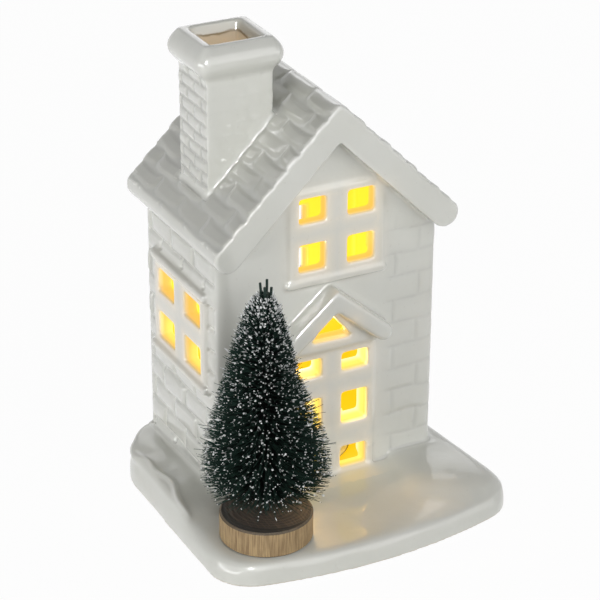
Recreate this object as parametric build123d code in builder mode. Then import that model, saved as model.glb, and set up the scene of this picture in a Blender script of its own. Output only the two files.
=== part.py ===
from build123d import *
import os
from math import cos, radians, sin, tan

os.makedirs("parts", exist_ok=True)

# Sizes are in millimetres. +Z is up, the door faces -Y, and the origin lies on the ground
# under the middle of the whole piece.

# House body
house_width = 80.0
house_depth = 52.5
house_x = 1.95
wall = 4.0
corner_radius = 3.2
inner_corner_radius = 1.5

# Snow base
base_width = 106.5
apron_depth = 44.0
apron_height = 8.0
lip_radius = 3.6
back_margin = 2.0
side_margin = 2.5
left_taper = 1.2
front_left_drop = 7.5
front_right_drop = 10.0
front_right_flare = 0.96
front_bulge_x = -5.25
front_left_radius = 15.0
front_right_radius = 13.0
back_right_radius = 6.0
back_left_radius = 22.0
foot_depth = 3.0
foot_width = 5.0

# Snow banks beside the house
left_bank_height = 14.5
left_bank_crest = 11.2
left_bank_back = 12.0
left_bank_peak_y = 4.0
left_bank_toe_y = -25.0
left_bank_lean = 3.0
left_bank_inset = 0.4
right_bank_inset = 0.7
right_bank_rise = 2.4
right_bank_radius = 2.0
right_bank_corner = 6.0
right_bank_bend = 14.0
right_bank_wall_x = 24.75
right_bank_path_x = 22.25
right_bank_front = 9.0

# Roof
ridge_height = 142.0
roof_pitch = 45.0
roof_band = 9.3
roof_wall = 5.0
eave_overhang = 2.8
gable_overhang = 7.5
course_count = 9
shingle_lap = 0.6
shingle_width = 17.0
joint_width = 0.9
joint_depth = 0.9

# Chimney
stack_width = 23.4
stack_depth = 20.6
stack_x = -20.45
stack_y = 18.8
stack_corner = 1.0
cap_bottom = 145.8
cap_cove = 148.4
cap_belly = 151.2
cap_shoulder = 154.4
rim_top = 157.4
cap_cove_proud = 1.9
cap_belly_proud = 3.3
cap_shoulder_proud = 2.4
rim_setback = 0.2
flue_width = 15.6
flue_depth = 14.4
flue_corner = 1.2
mouth_depth = 3.4
mouth_flare = 1.4

# Four-pane windows: a raised plate, a sill, a head moulding and the panes cut through
frame_proud = 1.2
sill_proud = 2.2
sill_height = 2.6
sill_reach = 1.2
frame_border = 3.4
pane_width = 9.6
side_pane_width = 11.8
mullion = 7.6
pane_low_height = 9.4
pane_top_height = 8.4
transom = 7.2
gable_window_x = 2.5
gable_window_z = 84.0
side_window_shift = 2.0
side_window_z = 50.5
back_window_x = 4.4
back_window_z = 57.0

# Front door: a raised plate with six panes
door_x = 1.2
door_width = 31.5
door_pane_width = 9.6
door_mullion = 7.2
door_low_z = 9.4
door_low_height = 8.0
door_middle_z = 26.1
door_middle_height = 11.6
door_high_z = 45.6
door_high_height = 6.6
door_pane_rows = (
    (door_low_z, door_low_height),
    (door_middle_z, door_middle_height),
    (door_high_z, door_high_height),
)

# Porch over the door
porch_x = 0.3
porch_ridge = 78.0
porch_pitch = 40.5
porch_band = 6.2
porch_reach = 20.6
porch_projection = 7.0
lintel_bottom = 55.0
lintel_half_width = 17.0
lintel_height = 3.0
panel_proud = 2.6
fan_light_half_width = 7.6
fan_light_bottom = 58.6
fan_light_height = 9.0

# Bottle-brush tree on its slice of wood
tree_x = -32.05
tree_y = -31.8
disc_radius = 14.8
disc_height = 9.0
disc_edge = 0.6
stem_radius = 1.2
stem_sink = 6.0
stem_tip_length = 3.4
stem_tip_radius = 0.7
bristle_start = 7.5
bristle_waist = 12.0
bristle_end = 76.0
bristle_radius = 20.2
bristle_foot_radius = 18.4
bristle_top_radius = 3.6
bristle_low_angle = 6.0
bristle_top_angle = 55.0
bristle_taper_power = 1.3
strand_sides = 3
strand_root = 0.38
strand_tip = 0.28
strand_sink = 0.25
rings_in_tier = 20
strands_in_ring = 7

# Light unit, pushed into the socket from below
running_gap = 0.15
fit_gap = 0.3
socket_radius = 20.0
flange_radius = 22.0
flange_thickness = 1.6
unit_radius = 18.0
unit_wall = 1.5
unit_split = 10.0
unit_top = 18.0
unit_roof = 1.6
board_z = 8.0
board_thickness = 1.0
board_ledge = 1.25
plug_rib = 0.5
plug_rib_height = 1.2
lamp_hole_gap = 0.6
led_radius = 2.5
led_flange_radius = 2.9
led_flange_height = 1.0
led_z = 12.5
led_barrel = 5.7
lead_size = 0.5
lead_pitch = 2.54
dome_radius = 9.0
dome_skirt = 3.0
dome_wall = 1.2
resistor_radius = 0.7
resistor_length = 3.5
resistor_cap = 0.6
resistor_cap_proud = 0.06
resistor_u = -7.0
resistor_v = 6.0

# Coin cell, its cover and its contacts
cell_u = -3.5
cell_radius = 10.0
cell_height = 3.2
cell_step = 0.5
cell_lid_radius = 8.8
tray_gap = 0.3
tray_wall = 1.2
cover_radius = 11.6
cover_thickness = 1.0
cover_boss = 0.8
screw_u = 8.5
screw_v = -9.0
ear_radius = 3.4
boss_radius = 2.5
boss_top = 7.0
screw_radius = 1.1
screw_top = 6.5
screw_head_radius = 2.2
screw_head_height = 0.8
screw_slot_width = 0.5
screw_slot_depth = 0.4
contact_thickness = 0.3
contact_width = 4.0
contact_pad = 2.4
contact_reach = 7.0
clip_tab = 1.6
clip_drop = 4.0
clip_gap = 0.05

# Slide switch
switch_u = 10.8
switch_v = 3.0
switch_width = 3.8
switch_length = 8.6
switch_height = 3.5
switch_sheet = 0.5
switch_travel = 2.5
slider_width = 2.0
slider_length = 2.6
slider_height = 1.5
slider_neck_width = 1.5
slider_neck_length = 2.0
slider_proud = 0.6

overrun = 2.0

# Places worked out from the sizes above
front_edge_y = -(apron_depth + house_depth + gable_overhang) / 2
front_y = front_edge_y + apron_depth
back_y = front_y + house_depth
house_y = (front_y + back_y) / 2
roof_front_y = front_y - gable_overhang
roof_length = house_depth + 2 * gable_overhang
base_back_y = back_y + back_margin
left_wall_x = house_x - house_width / 2
right_wall_x = house_x + house_width / 2
inner_width = house_width - 2 * wall
inner_depth = house_depth - 2 * wall
eave_reach = house_width / 2 + eave_overhang
disc_top = apron_height + disc_height
unit_bottom = foot_depth - flange_thickness
clear_height = ridge_height - apron_height


def level(z, u=0.0, v=0.0):
    """Horizontal plane at height z, with its origin on the house's middle line."""
    return Plane(origin=(house_x + u, house_y + v, z))


def elevation(y, x=house_x):
    """Upright plane facing the front: local x runs right and local y runs up."""
    return Plane(origin=(x, y, 0), x_dir=(1, 0, 0), z_dir=(0, -1, 0))


def save(builder, name):
    builder.part.label = name
    export_step(builder.part, f"parts/{name}.step")


def base_outline(plan, inset=0.0):
    """Ground plan of the snow: bowed front, straight left side, right side drawn in."""
    left = -base_width / 2
    right = base_width / 2
    corner_fl = (left, front_edge_y + front_left_drop, 0)
    corner_fr = (right + front_right_flare, front_edge_y + front_right_drop, 0)
    corner_br = (right_wall_x + side_margin, base_back_y, 0)
    corner_bl = (left + left_taper, base_back_y, 0)
    with BuildLine() as shore:
        ThreePointArc(corner_fl, (front_bulge_x, front_edge_y), corner_fr)
        Polyline(corner_fr, corner_br, corner_bl, corner_fl)
    make_face(shore.edges())
    rounded = (
        (corner_fl, front_left_radius),
        (corner_fr, front_right_radius),
        (corner_br, back_right_radius),
        (corner_bl, back_left_radius),
    )
    for corner, radius in rounded:
        fillet(plan.vertices().sort_by_distance(corner)[0], radius=radius)
    if inset > 0:
        offset(amount=-inset, mode=Mode.REPLACE)


def wall_plan():
    RectangleRounded(house_width, house_depth, corner_radius)


def slope_point(ridge_z, pitch, along, depth):
    """Point on a right-hand slope: along it from the ridge, and depth below its face."""
    turn = radians(pitch)
    x = along * cos(turn) - depth * sin(turn)
    z = ridge_z - along * sin(turn) - depth * cos(turn)
    return (x, z)


def slope_run(pitch, band, reach):
    """Length of the slope from the ridge to where its rounded nose starts."""
    turn = radians(pitch)
    nose = band / 2
    return (reach - nose + nose * sin(turn)) / cos(turn)


def roof_section(ridge_z, pitch, band, reach, courses=1, lap=0.0):
    """Saddle band with round noses; courses step its upper face like lapped shingles."""
    run = slope_run(pitch, band, reach)
    step = run / courses
    top = [(0, ridge_z - lap / cos(radians(pitch)))]
    for course in range(courses):
        if course > 0:
            top.append(slope_point(ridge_z, pitch, course * step, lap))
        top.append(slope_point(ridge_z, pitch, (course + 1) * step, 0))
    tip = slope_point(ridge_z, pitch, run + band / 2, band / 2)
    low = slope_point(ridge_z, pitch, run, band)
    valley = (0, ridge_z - band / cos(radians(pitch)))
    with BuildLine() as band_edge:
        Polyline(*top)
        ThreePointArc(top[-1], tip, low)
        Line(low, valley)
        mirror(about=Plane.YZ)
    make_face(band_edge.edges())


def pane_places(width, gap, rows):
    """Middles and heights of two columns of panes; rows are (bottom, height) pairs."""
    half_step = (width + gap) / 2
    places = []
    for bottom, height in rows:
        for side in (-1, 1):
            places.append((side * half_step, bottom + height / 2, height))
    return places


def four_pane_window(face, bottom, width, headed):
    """Raised plate with its mouldings on a wall face, four panes cut through plate and wall."""
    rows = (
        (bottom, pane_low_height),
        (bottom + pane_low_height + transom, pane_top_height),
    )
    plate_width = 2 * width + mullion + 2 * frame_border
    plate_bottom = bottom - sill_height
    plate_height = 2 * sill_height + pane_low_height + transom + pane_top_height
    mouldings = [(0, plate_bottom - sill_height / 2)]
    if headed:
        mouldings.append((0, plate_bottom + plate_height + sill_height / 2))
    with BuildSketch(face) as plate:
        with Locations((0, plate_bottom + plate_height / 2)):
            Rectangle(plate_width, plate_height)
    extrude(plate.sketch, amount=frame_proud)
    with BuildSketch(face) as sill:
        with Locations(*mouldings):
            Rectangle(plate_width + 2 * sill_reach, sill_height)
    extrude(sill.sketch, amount=sill_proud)
    cut_panes(face, pane_places(width, mullion, rows), width)


def cut_panes(face, places, width):
    with BuildSketch(face.offset(frame_proud + overrun)) as panes:
        for u, v, height in places:
            with Locations((u, v)):
                Rectangle(width, height)
    extrude(panes.sketch, amount=-(frame_proud + wall + 2 * overrun), mode=Mode.SUBTRACT)


# Snow base: apron, left bank and right bank, hollow foot and light socket
with BuildPart() as left_bank:
    with BuildSketch() as plan:
        base_outline(plan, left_bank_inset)
    extrude(amount=left_bank_height, taper=left_bank_lean)
    with BuildSketch(elevation(base_back_y, left_wall_x)):
        bank_run = left_wall_x + base_width / 2
        with BuildLine():
            Polyline(
                (wall, 0),
                (wall, left_bank_height),
                (0, left_bank_height),
                (-bank_run, left_bank_crest),
                (-bank_run, 0),
                close=True,
            )
        make_face()
    extrude(amount=house_depth + apron_depth, mode=Mode.INTERSECT)
    with BuildSketch(Plane.YZ.offset(-base_width)):
        with BuildLine():
            Polyline(
                (left_bank_toe_y, 0),
                (left_bank_toe_y, apron_height - lip_radius),
                (left_bank_peak_y, left_bank_height),
                (base_back_y, left_bank_back),
                (base_back_y, 0),
                close=True,
            )
        make_face()
    extrude(amount=2 * base_width, mode=Mode.INTERSECT)

with BuildPart() as right_bank:
    with BuildSketch() as plan:
        base_outline(plan, right_bank_inset)
        bank_front_y = front_edge_y + front_right_drop
        bank_back_y = back_y - 2 * wall
        with BuildLine():
            Polyline(
                (right_bank_wall_x, bank_back_y),
                (right_bank_wall_x, front_y),
                (right_bank_path_x, bank_front_y + right_bank_front),
                (right_bank_wall_x + right_bank_bend, bank_front_y),
                (base_width, bank_front_y),
                (base_width, bank_back_y),
                close=True,
            )
        make_face(mode=Mode.INTERSECT)
        offset(amount=-right_bank_corner, mode=Mode.REPLACE)
        offset(amount=right_bank_corner, mode=Mode.REPLACE)
    extrude(amount=apron_height + right_bank_rise)
    fillet(right_bank.faces().sort_by(Axis.Z)[-1].edges(), radius=right_bank_radius)

with BuildPart() as snow_base:
    with BuildSketch() as plan:
        base_outline(plan)
    extrude(amount=apron_height)
    fillet(snow_base.faces().sort_by(Axis.Z)[-1].edges(), radius=lip_radius)
    add(left_bank.part)
    add(right_bank.part)
    with BuildSketch(level(apron_height)):
        wall_plan()
    extrude(amount=clear_height, mode=Mode.SUBTRACT)
    with BuildSketch() as plan:
        base_outline(plan, foot_width)
    extrude(amount=foot_depth, mode=Mode.SUBTRACT)
    with BuildSketch(level(0)):
        Circle(socket_radius)
    extrude(amount=apron_height + overrun, mode=Mode.SUBTRACT)
save(snow_base, "snow_base")

# House walls: the plan carried up to the roof, hollowed, with frames, door and panes, and
# divided into four walls that meet in mitres at the corners
front_face = elevation(front_y, house_x + gable_window_x)
back_face = Plane(origin=(house_x + back_window_x, back_y, 0), x_dir=(-1, 0, 0), z_dir=(0, 1, 0))
side_window_y = house_y - side_window_shift
left_face = Plane(origin=(left_wall_x, side_window_y, 0), x_dir=(0, -1, 0), z_dir=(-1, 0, 0))
right_face = Plane(origin=(right_wall_x, side_window_y, 0), x_dir=(0, 1, 0), z_dir=(1, 0, 0))
door_face = elevation(front_y, house_x + door_x)


def fan_light():
    """Three-cornered light in the porch gable and in the wall behind it."""
    with BuildLine() as light_edge:
        Polyline(
            (-fan_light_half_width, fan_light_bottom),
            (fan_light_half_width, fan_light_bottom),
            (0, fan_light_bottom + fan_light_height),
            close=True,
        )
    make_face(light_edge.edges())


with BuildPart() as house_walls:
    with BuildSketch(level(apron_height)):
        wall_plan()
    extrude(amount=clear_height)
    with BuildSketch(elevation(front_y)):
        crown = ridge_height - roof_band / 2 / cos(radians(roof_pitch))
        shoulder = crown - house_width / 2 * tan(radians(roof_pitch))
        with BuildLine():
            Polyline(
                (-house_width / 2, 0),
                (house_width / 2, 0),
                (house_width / 2, shoulder),
                (0, crown),
                (-house_width / 2, shoulder),
                close=True,
            )
        make_face()
    extrude(amount=-house_depth, mode=Mode.INTERSECT)
    with BuildSketch(level(apron_height)):
        RectangleRounded(inner_width, inner_depth, inner_corner_radius)
    extrude(amount=clear_height, mode=Mode.SUBTRACT)
    four_pane_window(front_face, gable_window_z, pane_width, headed=False)
    four_pane_window(back_face, back_window_z, pane_width, headed=True)
    four_pane_window(left_face, side_window_z, side_pane_width, headed=True)
    four_pane_window(right_face, side_window_z, side_pane_width, headed=True)
    with BuildSketch(door_face):
        door_height = lintel_bottom - apron_height
        with Locations((0, apron_height + door_height / 2)):
            Rectangle(door_width, door_height)
    extrude(amount=frame_proud)
    cut_panes(door_face, pane_places(door_pane_width, door_mullion, door_pane_rows), door_pane_width)
    with BuildSketch(elevation(front_y - overrun, house_x + porch_x)):
        fan_light()
    extrude(amount=-(wall + 2 * overrun), mode=Mode.SUBTRACT)
    with BuildSketch(elevation(roof_front_y)):
        roof_section(ridge_height, roof_pitch, roof_band, eave_reach)
    extrude(amount=-roof_length, mode=Mode.SUBTRACT)


def plan_corners(reach):
    """Corners of the house's plan, reach outside its walls, from the front left one round."""
    half_x = house_width / 2 + reach
    half_y = house_depth / 2 + reach
    return ((-half_x, -half_y), (half_x, -half_y), (half_x, half_y), (-half_x, half_y))


outer_corners = plan_corners(sill_proud + overrun)
inner_corners = plan_corners(-wall - overrun)
wall_names = ("front_wall", "right_wall", "back_wall", "left_wall")
for start, wall_name in enumerate(wall_names):
    end = (start + 1) % len(wall_names)
    with BuildPart() as one_wall:
        add(house_walls.part)
        with BuildSketch(level(0)):
            with BuildLine():
                Polyline(
                    outer_corners[start],
                    outer_corners[end],
                    inner_corners[end],
                    inner_corners[start],
                    close=True,
                )
            make_face()
        extrude(amount=ridge_height, mode=Mode.INTERSECT)
    save(one_wall, wall_name)


# Roof: stepped shingle courses, upright joints between shingles, hollow inside, stack hole,
# divided along the ridge into its two slopes
def slope_plane(side):
    """Plane on the upper face of one slope, from the ridge, with local y up the slope."""
    turn = radians(roof_pitch)
    return Plane(
        origin=(house_x, roof_front_y + roof_length / 2, ridge_height),
        x_dir=(0, side, 0),
        z_dir=(side * sin(turn), 0, cos(turn)),
    )


def shingle_joints():
    """Middles of the upright joints on one slope, staggered from course to course."""
    run = slope_run(roof_pitch, roof_band, eave_reach)
    step = run / course_count
    count = round(roof_length / shingle_width) + 1
    places = []
    for course in range(course_count):
        shift = shingle_width / 2 * (course % 2)
        for joint in range(-count, count + 1):
            y = joint * shingle_width + shift
            if abs(y) < roof_length / 2 - joint_width:
                places.append((y, -(course + 0.5) * step))
    return places, step


def stack_plan():
    RectangleRounded(stack_width, stack_depth, stack_corner)


with BuildPart() as house_roof:
    with BuildSketch(elevation(roof_front_y)):
        roof_section(ridge_height, roof_pitch, roof_band, eave_reach, course_count, shingle_lap)
    extrude(amount=-roof_length)
    joint_places, course_length = shingle_joints()
    for side in (-1, 1):
        with BuildSketch(slope_plane(side)):
            with Locations(*joint_places):
                Rectangle(joint_width, course_length)
        extrude(amount=-joint_depth, mode=Mode.SUBTRACT)
    with BuildSketch(elevation(front_y + wall)):
        attic_top = ridge_height - (roof_wall + shingle_lap) / cos(radians(roof_pitch))
        attic_side = attic_top - inner_width / 2 * tan(radians(roof_pitch))
        attic_floor = attic_side - roof_band
        with BuildLine():
            Polyline(
                (-inner_width / 2, attic_floor),
                (inner_width / 2, attic_floor),
                (inner_width / 2, attic_side),
                (0, attic_top),
                (-inner_width / 2, attic_side),
                close=True,
            )
        make_face()
    extrude(amount=-inner_depth, mode=Mode.SUBTRACT)
    with BuildSketch(Plane(origin=(stack_x, stack_y, apron_height))):
        stack_plan()
    extrude(amount=clear_height, mode=Mode.SUBTRACT)

for slope_name, kept_side in (("left_roof", Keep.BOTTOM), ("right_roof", Keep.TOP)):
    with BuildPart() as one_slope:
        add(house_roof.part)
        split(bisect_by=Plane.YZ.offset(house_x), keep=kept_side)
    save(one_slope, slope_name)

# Chimney: stack through the roof, flared cap, open flue with a wider mouth
cap_rings = (
    (cap_bottom, 0.0),
    (cap_cove, cap_cove_proud),
    (cap_belly, cap_belly_proud),
    (cap_shoulder, cap_shoulder_proud),
    (rim_top, -rim_setback),
)
stack_foot = slope_point(ridge_height, roof_pitch, 0, roof_wall + shingle_lap)
with BuildPart() as chimney:
    with BuildSketch(Plane(origin=(stack_x, stack_y, apron_height))):
        stack_plan()
    extrude(amount=cap_bottom - apron_height)
    for ring_z, proud in cap_rings:
        ring_corner = stack_corner + max(proud, 0)
        with BuildSketch(Plane(origin=(stack_x, stack_y, ring_z))):
            RectangleRounded(stack_width + 2 * proud, stack_depth + 2 * proud, ring_corner)
    loft()
    split(
        bisect_by=Plane(
            origin=(house_x - stack_foot[0], stack_y, stack_foot[1]),
            z_dir=(-sin(radians(roof_pitch)), 0, cos(radians(roof_pitch))),
        ),
        keep=Keep.TOP,
    )
    with BuildSketch(Plane(origin=(stack_x, stack_y, apron_height))):
        RectangleRounded(flue_width, flue_depth, flue_corner)
    extrude(amount=rim_top - apron_height + overrun, mode=Mode.SUBTRACT)
    for ring_z, flare in ((rim_top - mouth_depth, 0.0), (rim_top, mouth_flare)):
        with BuildSketch(Plane(origin=(stack_x, stack_y, ring_z))):
            RectangleRounded(flue_width + 2 * flare, flue_depth + 2 * flare, flue_corner + flare)
    loft(mode=Mode.SUBTRACT)
save(chimney, "chimney")

# Porch: gabled canopy on the front wall, and the panel with the three-cornered light below it
with BuildPart() as porch:
    with BuildSketch(elevation(front_y, house_x + porch_x)):
        porch_valley = porch_ridge - porch_band / cos(radians(porch_pitch))
        lintel_top = lintel_bottom + lintel_height
        with BuildLine():
            Polyline(
                (-lintel_half_width, lintel_bottom),
                (lintel_half_width, lintel_bottom),
                (lintel_half_width, lintel_top),
                (0, porch_valley + porch_band / 2),
                (-lintel_half_width, lintel_top),
                close=True,
            )
        make_face()
    extrude(amount=panel_proud)
    with BuildSketch(elevation(front_y, house_x + porch_x)):
        roof_section(porch_ridge, porch_pitch, porch_band, porch_reach)
    extrude(amount=porch_projection)
    with BuildSketch(elevation(front_y, house_x + porch_x)):
        fan_light()
    extrude(amount=panel_proud, mode=Mode.SUBTRACT)
save(porch, "porch")

# Tree: slice of wood, wire foot and tip, three tiers of bristles on their wire core
bristle_foot_z = disc_top + bristle_start
bristle_top_z = disc_top + bristle_end
with BuildPart() as tree_disc:
    with BuildSketch(Plane(origin=(tree_x, tree_y, apron_height))):
        Circle(disc_radius)
    extrude(amount=disc_height)
    chamfer(tree_disc.edges(), length=disc_edge)
    with BuildSketch(Plane(origin=(tree_x, tree_y, disc_top))):
        Circle(stem_radius)
    extrude(amount=-stem_sink, mode=Mode.SUBTRACT)
save(tree_disc, "tree_disc")

with BuildPart() as tree_stem:
    with BuildSketch(Plane(origin=(tree_x, tree_y, disc_top - stem_sink))):
        Circle(stem_radius)
    extrude(amount=stem_sink + bristle_start)
    with BuildSketch(Plane(origin=(tree_x, tree_y, bristle_top_z))):
        Circle(stem_tip_radius)
    with BuildSketch(Plane(origin=(tree_x, tree_y, bristle_top_z + stem_tip_length))):
        Circle(stem_tip_radius / 2)
    loft()
save(tree_stem, "tree_stem")


def tip_radius(rise):
    """Reach of the bristles whose roots stand rise above the tree's lowest bristles."""
    waist = bristle_waist - bristle_start
    if rise < waist:
        return bristle_foot_radius + (bristle_radius - bristle_foot_radius) * rise / waist
    share = (rise - waist) / (bristle_end - bristle_waist)
    return bristle_radius - (bristle_radius - bristle_top_radius) * share**bristle_taper_power


def strand_plane(z, turn, lean, reach):
    """Plane square to a strand that leaves the wire core at height z, reach along it."""
    out = Vector(cos(lean) * cos(turn), cos(lean) * sin(turn), sin(lean))
    side = Vector(-sin(turn), cos(turn), 0)
    seat = stem_radius - strand_sink
    foot = Vector(tree_x + seat * cos(turn), tree_y + seat * sin(turn), z)
    return Plane(origin=foot + out * reach, x_dir=side, z_dir=out)


tier_names = ("bristles_lower", "bristles_middle", "bristles_upper")
tier_height = (bristle_end - bristle_start) / len(tier_names)
ring_step = tier_height / rings_in_tier
for tier, tier_name in enumerate(tier_names):
    tier_z = bristle_foot_z + tier * tier_height
    with BuildPart() as bristles:
        with BuildSketch(Plane(origin=(tree_x, tree_y, tier_z))):
            Circle(stem_radius)
        extrude(amount=tier_height)
        strands = []
        for ring in range(rings_in_tier):
            root_z = tier_z + (ring + 0.5) * ring_step
            rise = root_z - bristle_foot_z
            climb = (rise / (bristle_end - bristle_start)) ** 2
            lean = radians(bristle_low_angle + (bristle_top_angle - bristle_low_angle) * climb)
            length = (tip_radius(rise) - stem_radius) / cos(lean)
            for strand in range(strands_in_ring):
                turn = radians(360 * (strand + ring % 2 / 2) / strands_in_ring)
                with BuildSketch(strand_plane(root_z, turn, lean, 0), mode=Mode.PRIVATE) as root_end:
                    RegularPolygon(strand_root, strand_sides)
                with BuildSketch(strand_plane(root_z, turn, lean, length), mode=Mode.PRIVATE) as tip_end:
                    RegularPolygon(strand_tip, strand_sides)
                strands.append(loft([root_end.sketch, tip_end.sketch], mode=Mode.PRIVATE))
        add(strands)
    save(bristles, tier_name)

# Light unit, lower shell: flange, wall with a seat for the board, cell tray, boss, openings
seat_radius = unit_radius - unit_wall - board_ledge
board_top = board_z + board_thickness
cover_top = unit_bottom + cover_thickness
cell_bottom = cover_top + cover_boss
cell_top = cell_bottom + cell_height
tray_radius = cell_radius + tray_gap
clip_u = cell_u + cell_radius + clip_gap
slider_v = switch_v - switch_travel / 2
switch_bottom = board_z - switch_height
slider_bottom = switch_bottom + switch_sheet + running_gap


def cover_outline(gap=0.0):
    """Round lid with an ear for its screw."""
    with Locations((cell_u, 0)):
        Circle(cover_radius + gap)
    with Locations((screw_u, screw_v)):
        Circle(ear_radius + gap)


with BuildPart() as unit_base:
    with BuildSketch(level(unit_bottom)):
        Circle(flange_radius)
    extrude(amount=flange_thickness)
    with BuildSketch(level(foot_depth)):
        Circle(unit_radius)
        Circle(seat_radius, mode=Mode.SUBTRACT)
    extrude(amount=board_z - foot_depth)
    with BuildSketch(level(board_z)):
        Circle(unit_radius)
        Circle(unit_radius - unit_wall, mode=Mode.SUBTRACT)
    extrude(amount=unit_split - board_z)
    with BuildSketch(level(foot_depth, cell_u)):
        Circle(tray_radius + tray_wall)
        Circle(tray_radius, mode=Mode.SUBTRACT)
        with Locations((tray_radius, 0)):
            Rectangle(2 * tray_wall + overrun, contact_width + 2 * tray_gap, mode=Mode.SUBTRACT)
    extrude(amount=cell_top - foot_depth)
    with BuildSketch(level(foot_depth, screw_u, screw_v)):
        Circle(boss_radius)
    extrude(amount=boss_top - foot_depth)
    with BuildSketch(level(unit_bottom)):
        cover_outline(fit_gap)
        make_hull()
    extrude(amount=cover_thickness, mode=Mode.SUBTRACT)
    with BuildSketch(level(unit_bottom, cell_u)):
        Circle(tray_radius)
    extrude(amount=flange_thickness, mode=Mode.SUBTRACT)
    with BuildSketch(level(unit_bottom, screw_u, screw_v)):
        Circle(screw_radius + fit_gap)
    extrude(amount=boss_top - unit_bottom, mode=Mode.SUBTRACT)
    with BuildSketch(level(unit_bottom, switch_u, switch_v)):
        slot_length = slider_neck_length + switch_travel + 2 * running_gap
        Rectangle(slider_neck_width + 2 * running_gap, slot_length)
    extrude(amount=flange_thickness, mode=Mode.SUBTRACT)
save(unit_base, "unit_base")

with BuildPart() as unit_cap:
    with BuildSketch(level(unit_split)):
        Circle(unit_radius)
    extrude(amount=unit_top - unit_split)
    with BuildSketch(level(board_top)):
        Circle(unit_radius - unit_wall - running_gap)
    extrude(amount=unit_split - board_top)
    with BuildSketch(level(board_top)):
        Circle(seat_radius)
    extrude(amount=unit_top - unit_roof - board_top, mode=Mode.SUBTRACT)
    with BuildSketch(level(unit_top)):
        Circle(led_flange_radius + lamp_hole_gap)
    extrude(amount=-unit_roof, mode=Mode.SUBTRACT)
    fillet(unit_cap.faces().sort_by(Axis.Z)[-1].outer_wire().edges(), radius=unit_wall / 2)
save(unit_cap, "unit_cap")

with BuildPart() as plug_ring:
    with BuildSketch(elevation(house_y)):
        plug_radius = socket_radius - fit_gap
        rib_gap = (apron_height - foot_depth - 2 * plug_rib_height) / 2
        with BuildLine():
            Polyline(
                (unit_radius, foot_depth),
                (plug_radius, foot_depth),
                (plug_radius, foot_depth + plug_rib_height),
                (plug_radius - plug_rib, foot_depth + plug_rib_height + plug_rib),
                (plug_radius - plug_rib, foot_depth + plug_rib_height + rib_gap),
                (plug_radius, foot_depth + plug_rib_height + rib_gap + plug_rib),
                (plug_radius, apron_height - plug_rib),
                (plug_radius - plug_rib, apron_height),
                (unit_radius, apron_height),
                close=True,
            )
        make_face()
    revolve(axis=Axis((house_x, house_y, 0), (0, 0, 1)))
save(plug_ring, "plug_ring")

# What the shells hold: board, lamp on its leads, resistor, frosted dome
with BuildPart() as circuit_board:
    with BuildSketch(level(board_z)):
        Circle(unit_radius - unit_wall - running_gap)
    extrude(amount=board_thickness)
save(circuit_board, "circuit_board")

with BuildPart() as led:
    with BuildSketch(level(led_z)):
        Circle(led_flange_radius)
    extrude(amount=led_flange_height)
    with BuildSketch(level(led_z)):
        Circle(led_radius)
    extrude(amount=led_barrel)
    with Locations((house_x, house_y, led_z + led_barrel)):
        Sphere(led_radius)
save(led, "led")

with BuildPart() as led_leads:
    with BuildSketch(level(board_top)):
        with Locations((-lead_pitch / 2, 0), (lead_pitch / 2, 0)):
            Rectangle(lead_size, lead_size)
    extrude(amount=led_z - board_top)
save(led_leads, "led_leads")

with BuildPart() as resistor:
    resistor_z = board_top + resistor_radius + resistor_cap_proud
    resistor_middle = Vector(house_x + resistor_u, house_y + resistor_v, resistor_z)
    across = Plane(origin=resistor_middle, z_dir=(1, 0, 0))
    with BuildSketch(across):
        Circle(resistor_radius)
    extrude(amount=resistor_length / 2, both=True)
    for side in (-1, 1):
        with BuildSketch(across.offset(side * (resistor_length - resistor_cap) / 2)):
            Circle(resistor_radius + resistor_cap_proud)
        extrude(amount=resistor_cap / 2, both=True)
save(resistor, "resistor")

with BuildPart() as light_diffuser:
    with BuildSketch(elevation(house_y)):
        shoulder_z = unit_top + dome_skirt
        hollow_radius = dome_radius - dome_wall
        with BuildLine():
            Line((hollow_radius, unit_top), (dome_radius, unit_top))
            Line((dome_radius, unit_top), (dome_radius, shoulder_z))
            TangentArc((dome_radius, shoulder_z), (0, shoulder_z + dome_radius), tangent=(0, 1))
            Line((0, shoulder_z + dome_radius), (0, shoulder_z + hollow_radius))
            TangentArc((0, shoulder_z + hollow_radius), (hollow_radius, shoulder_z), tangent=(1, 0))
            Line((hollow_radius, shoulder_z), (hollow_radius, unit_top))
        make_face()
    revolve(axis=Axis((house_x, house_y, 0), (0, 0, 1)))
save(light_diffuser, "light_diffuser")

# Coin cell, contacts, cover and screw
with BuildPart() as coin_cell:
    with BuildSketch(level(cell_bottom, cell_u)):
        Circle(cell_radius)
    extrude(amount=cell_height - cell_step)
    with BuildSketch(level(cell_bottom, cell_u)):
        Circle(cell_lid_radius)
    extrude(amount=cell_height)
save(coin_cell, "coin_cell")

with BuildPart() as negative_contact:
    with BuildSketch(Plane(origin=(house_x + cell_u, house_y, 0), x_dir=(1, 0, 0), z_dir=(0, -1, 0))):
        with BuildLine():
            Polyline(
                (-contact_reach, board_z),
                (-contact_reach, board_z - contact_thickness),
                (-contact_reach + contact_pad - contact_thickness, board_z - contact_thickness),
                (-contact_pad, cell_top),
                (contact_pad, cell_top),
                (contact_pad, cell_top + contact_thickness),
                (-contact_pad + contact_thickness, cell_top + contact_thickness),
                (-contact_reach + contact_pad, board_z),
                close=True,
            )
        make_face()
    extrude(amount=contact_width / 2, both=True)
save(negative_contact, "negative_contact")

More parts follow.
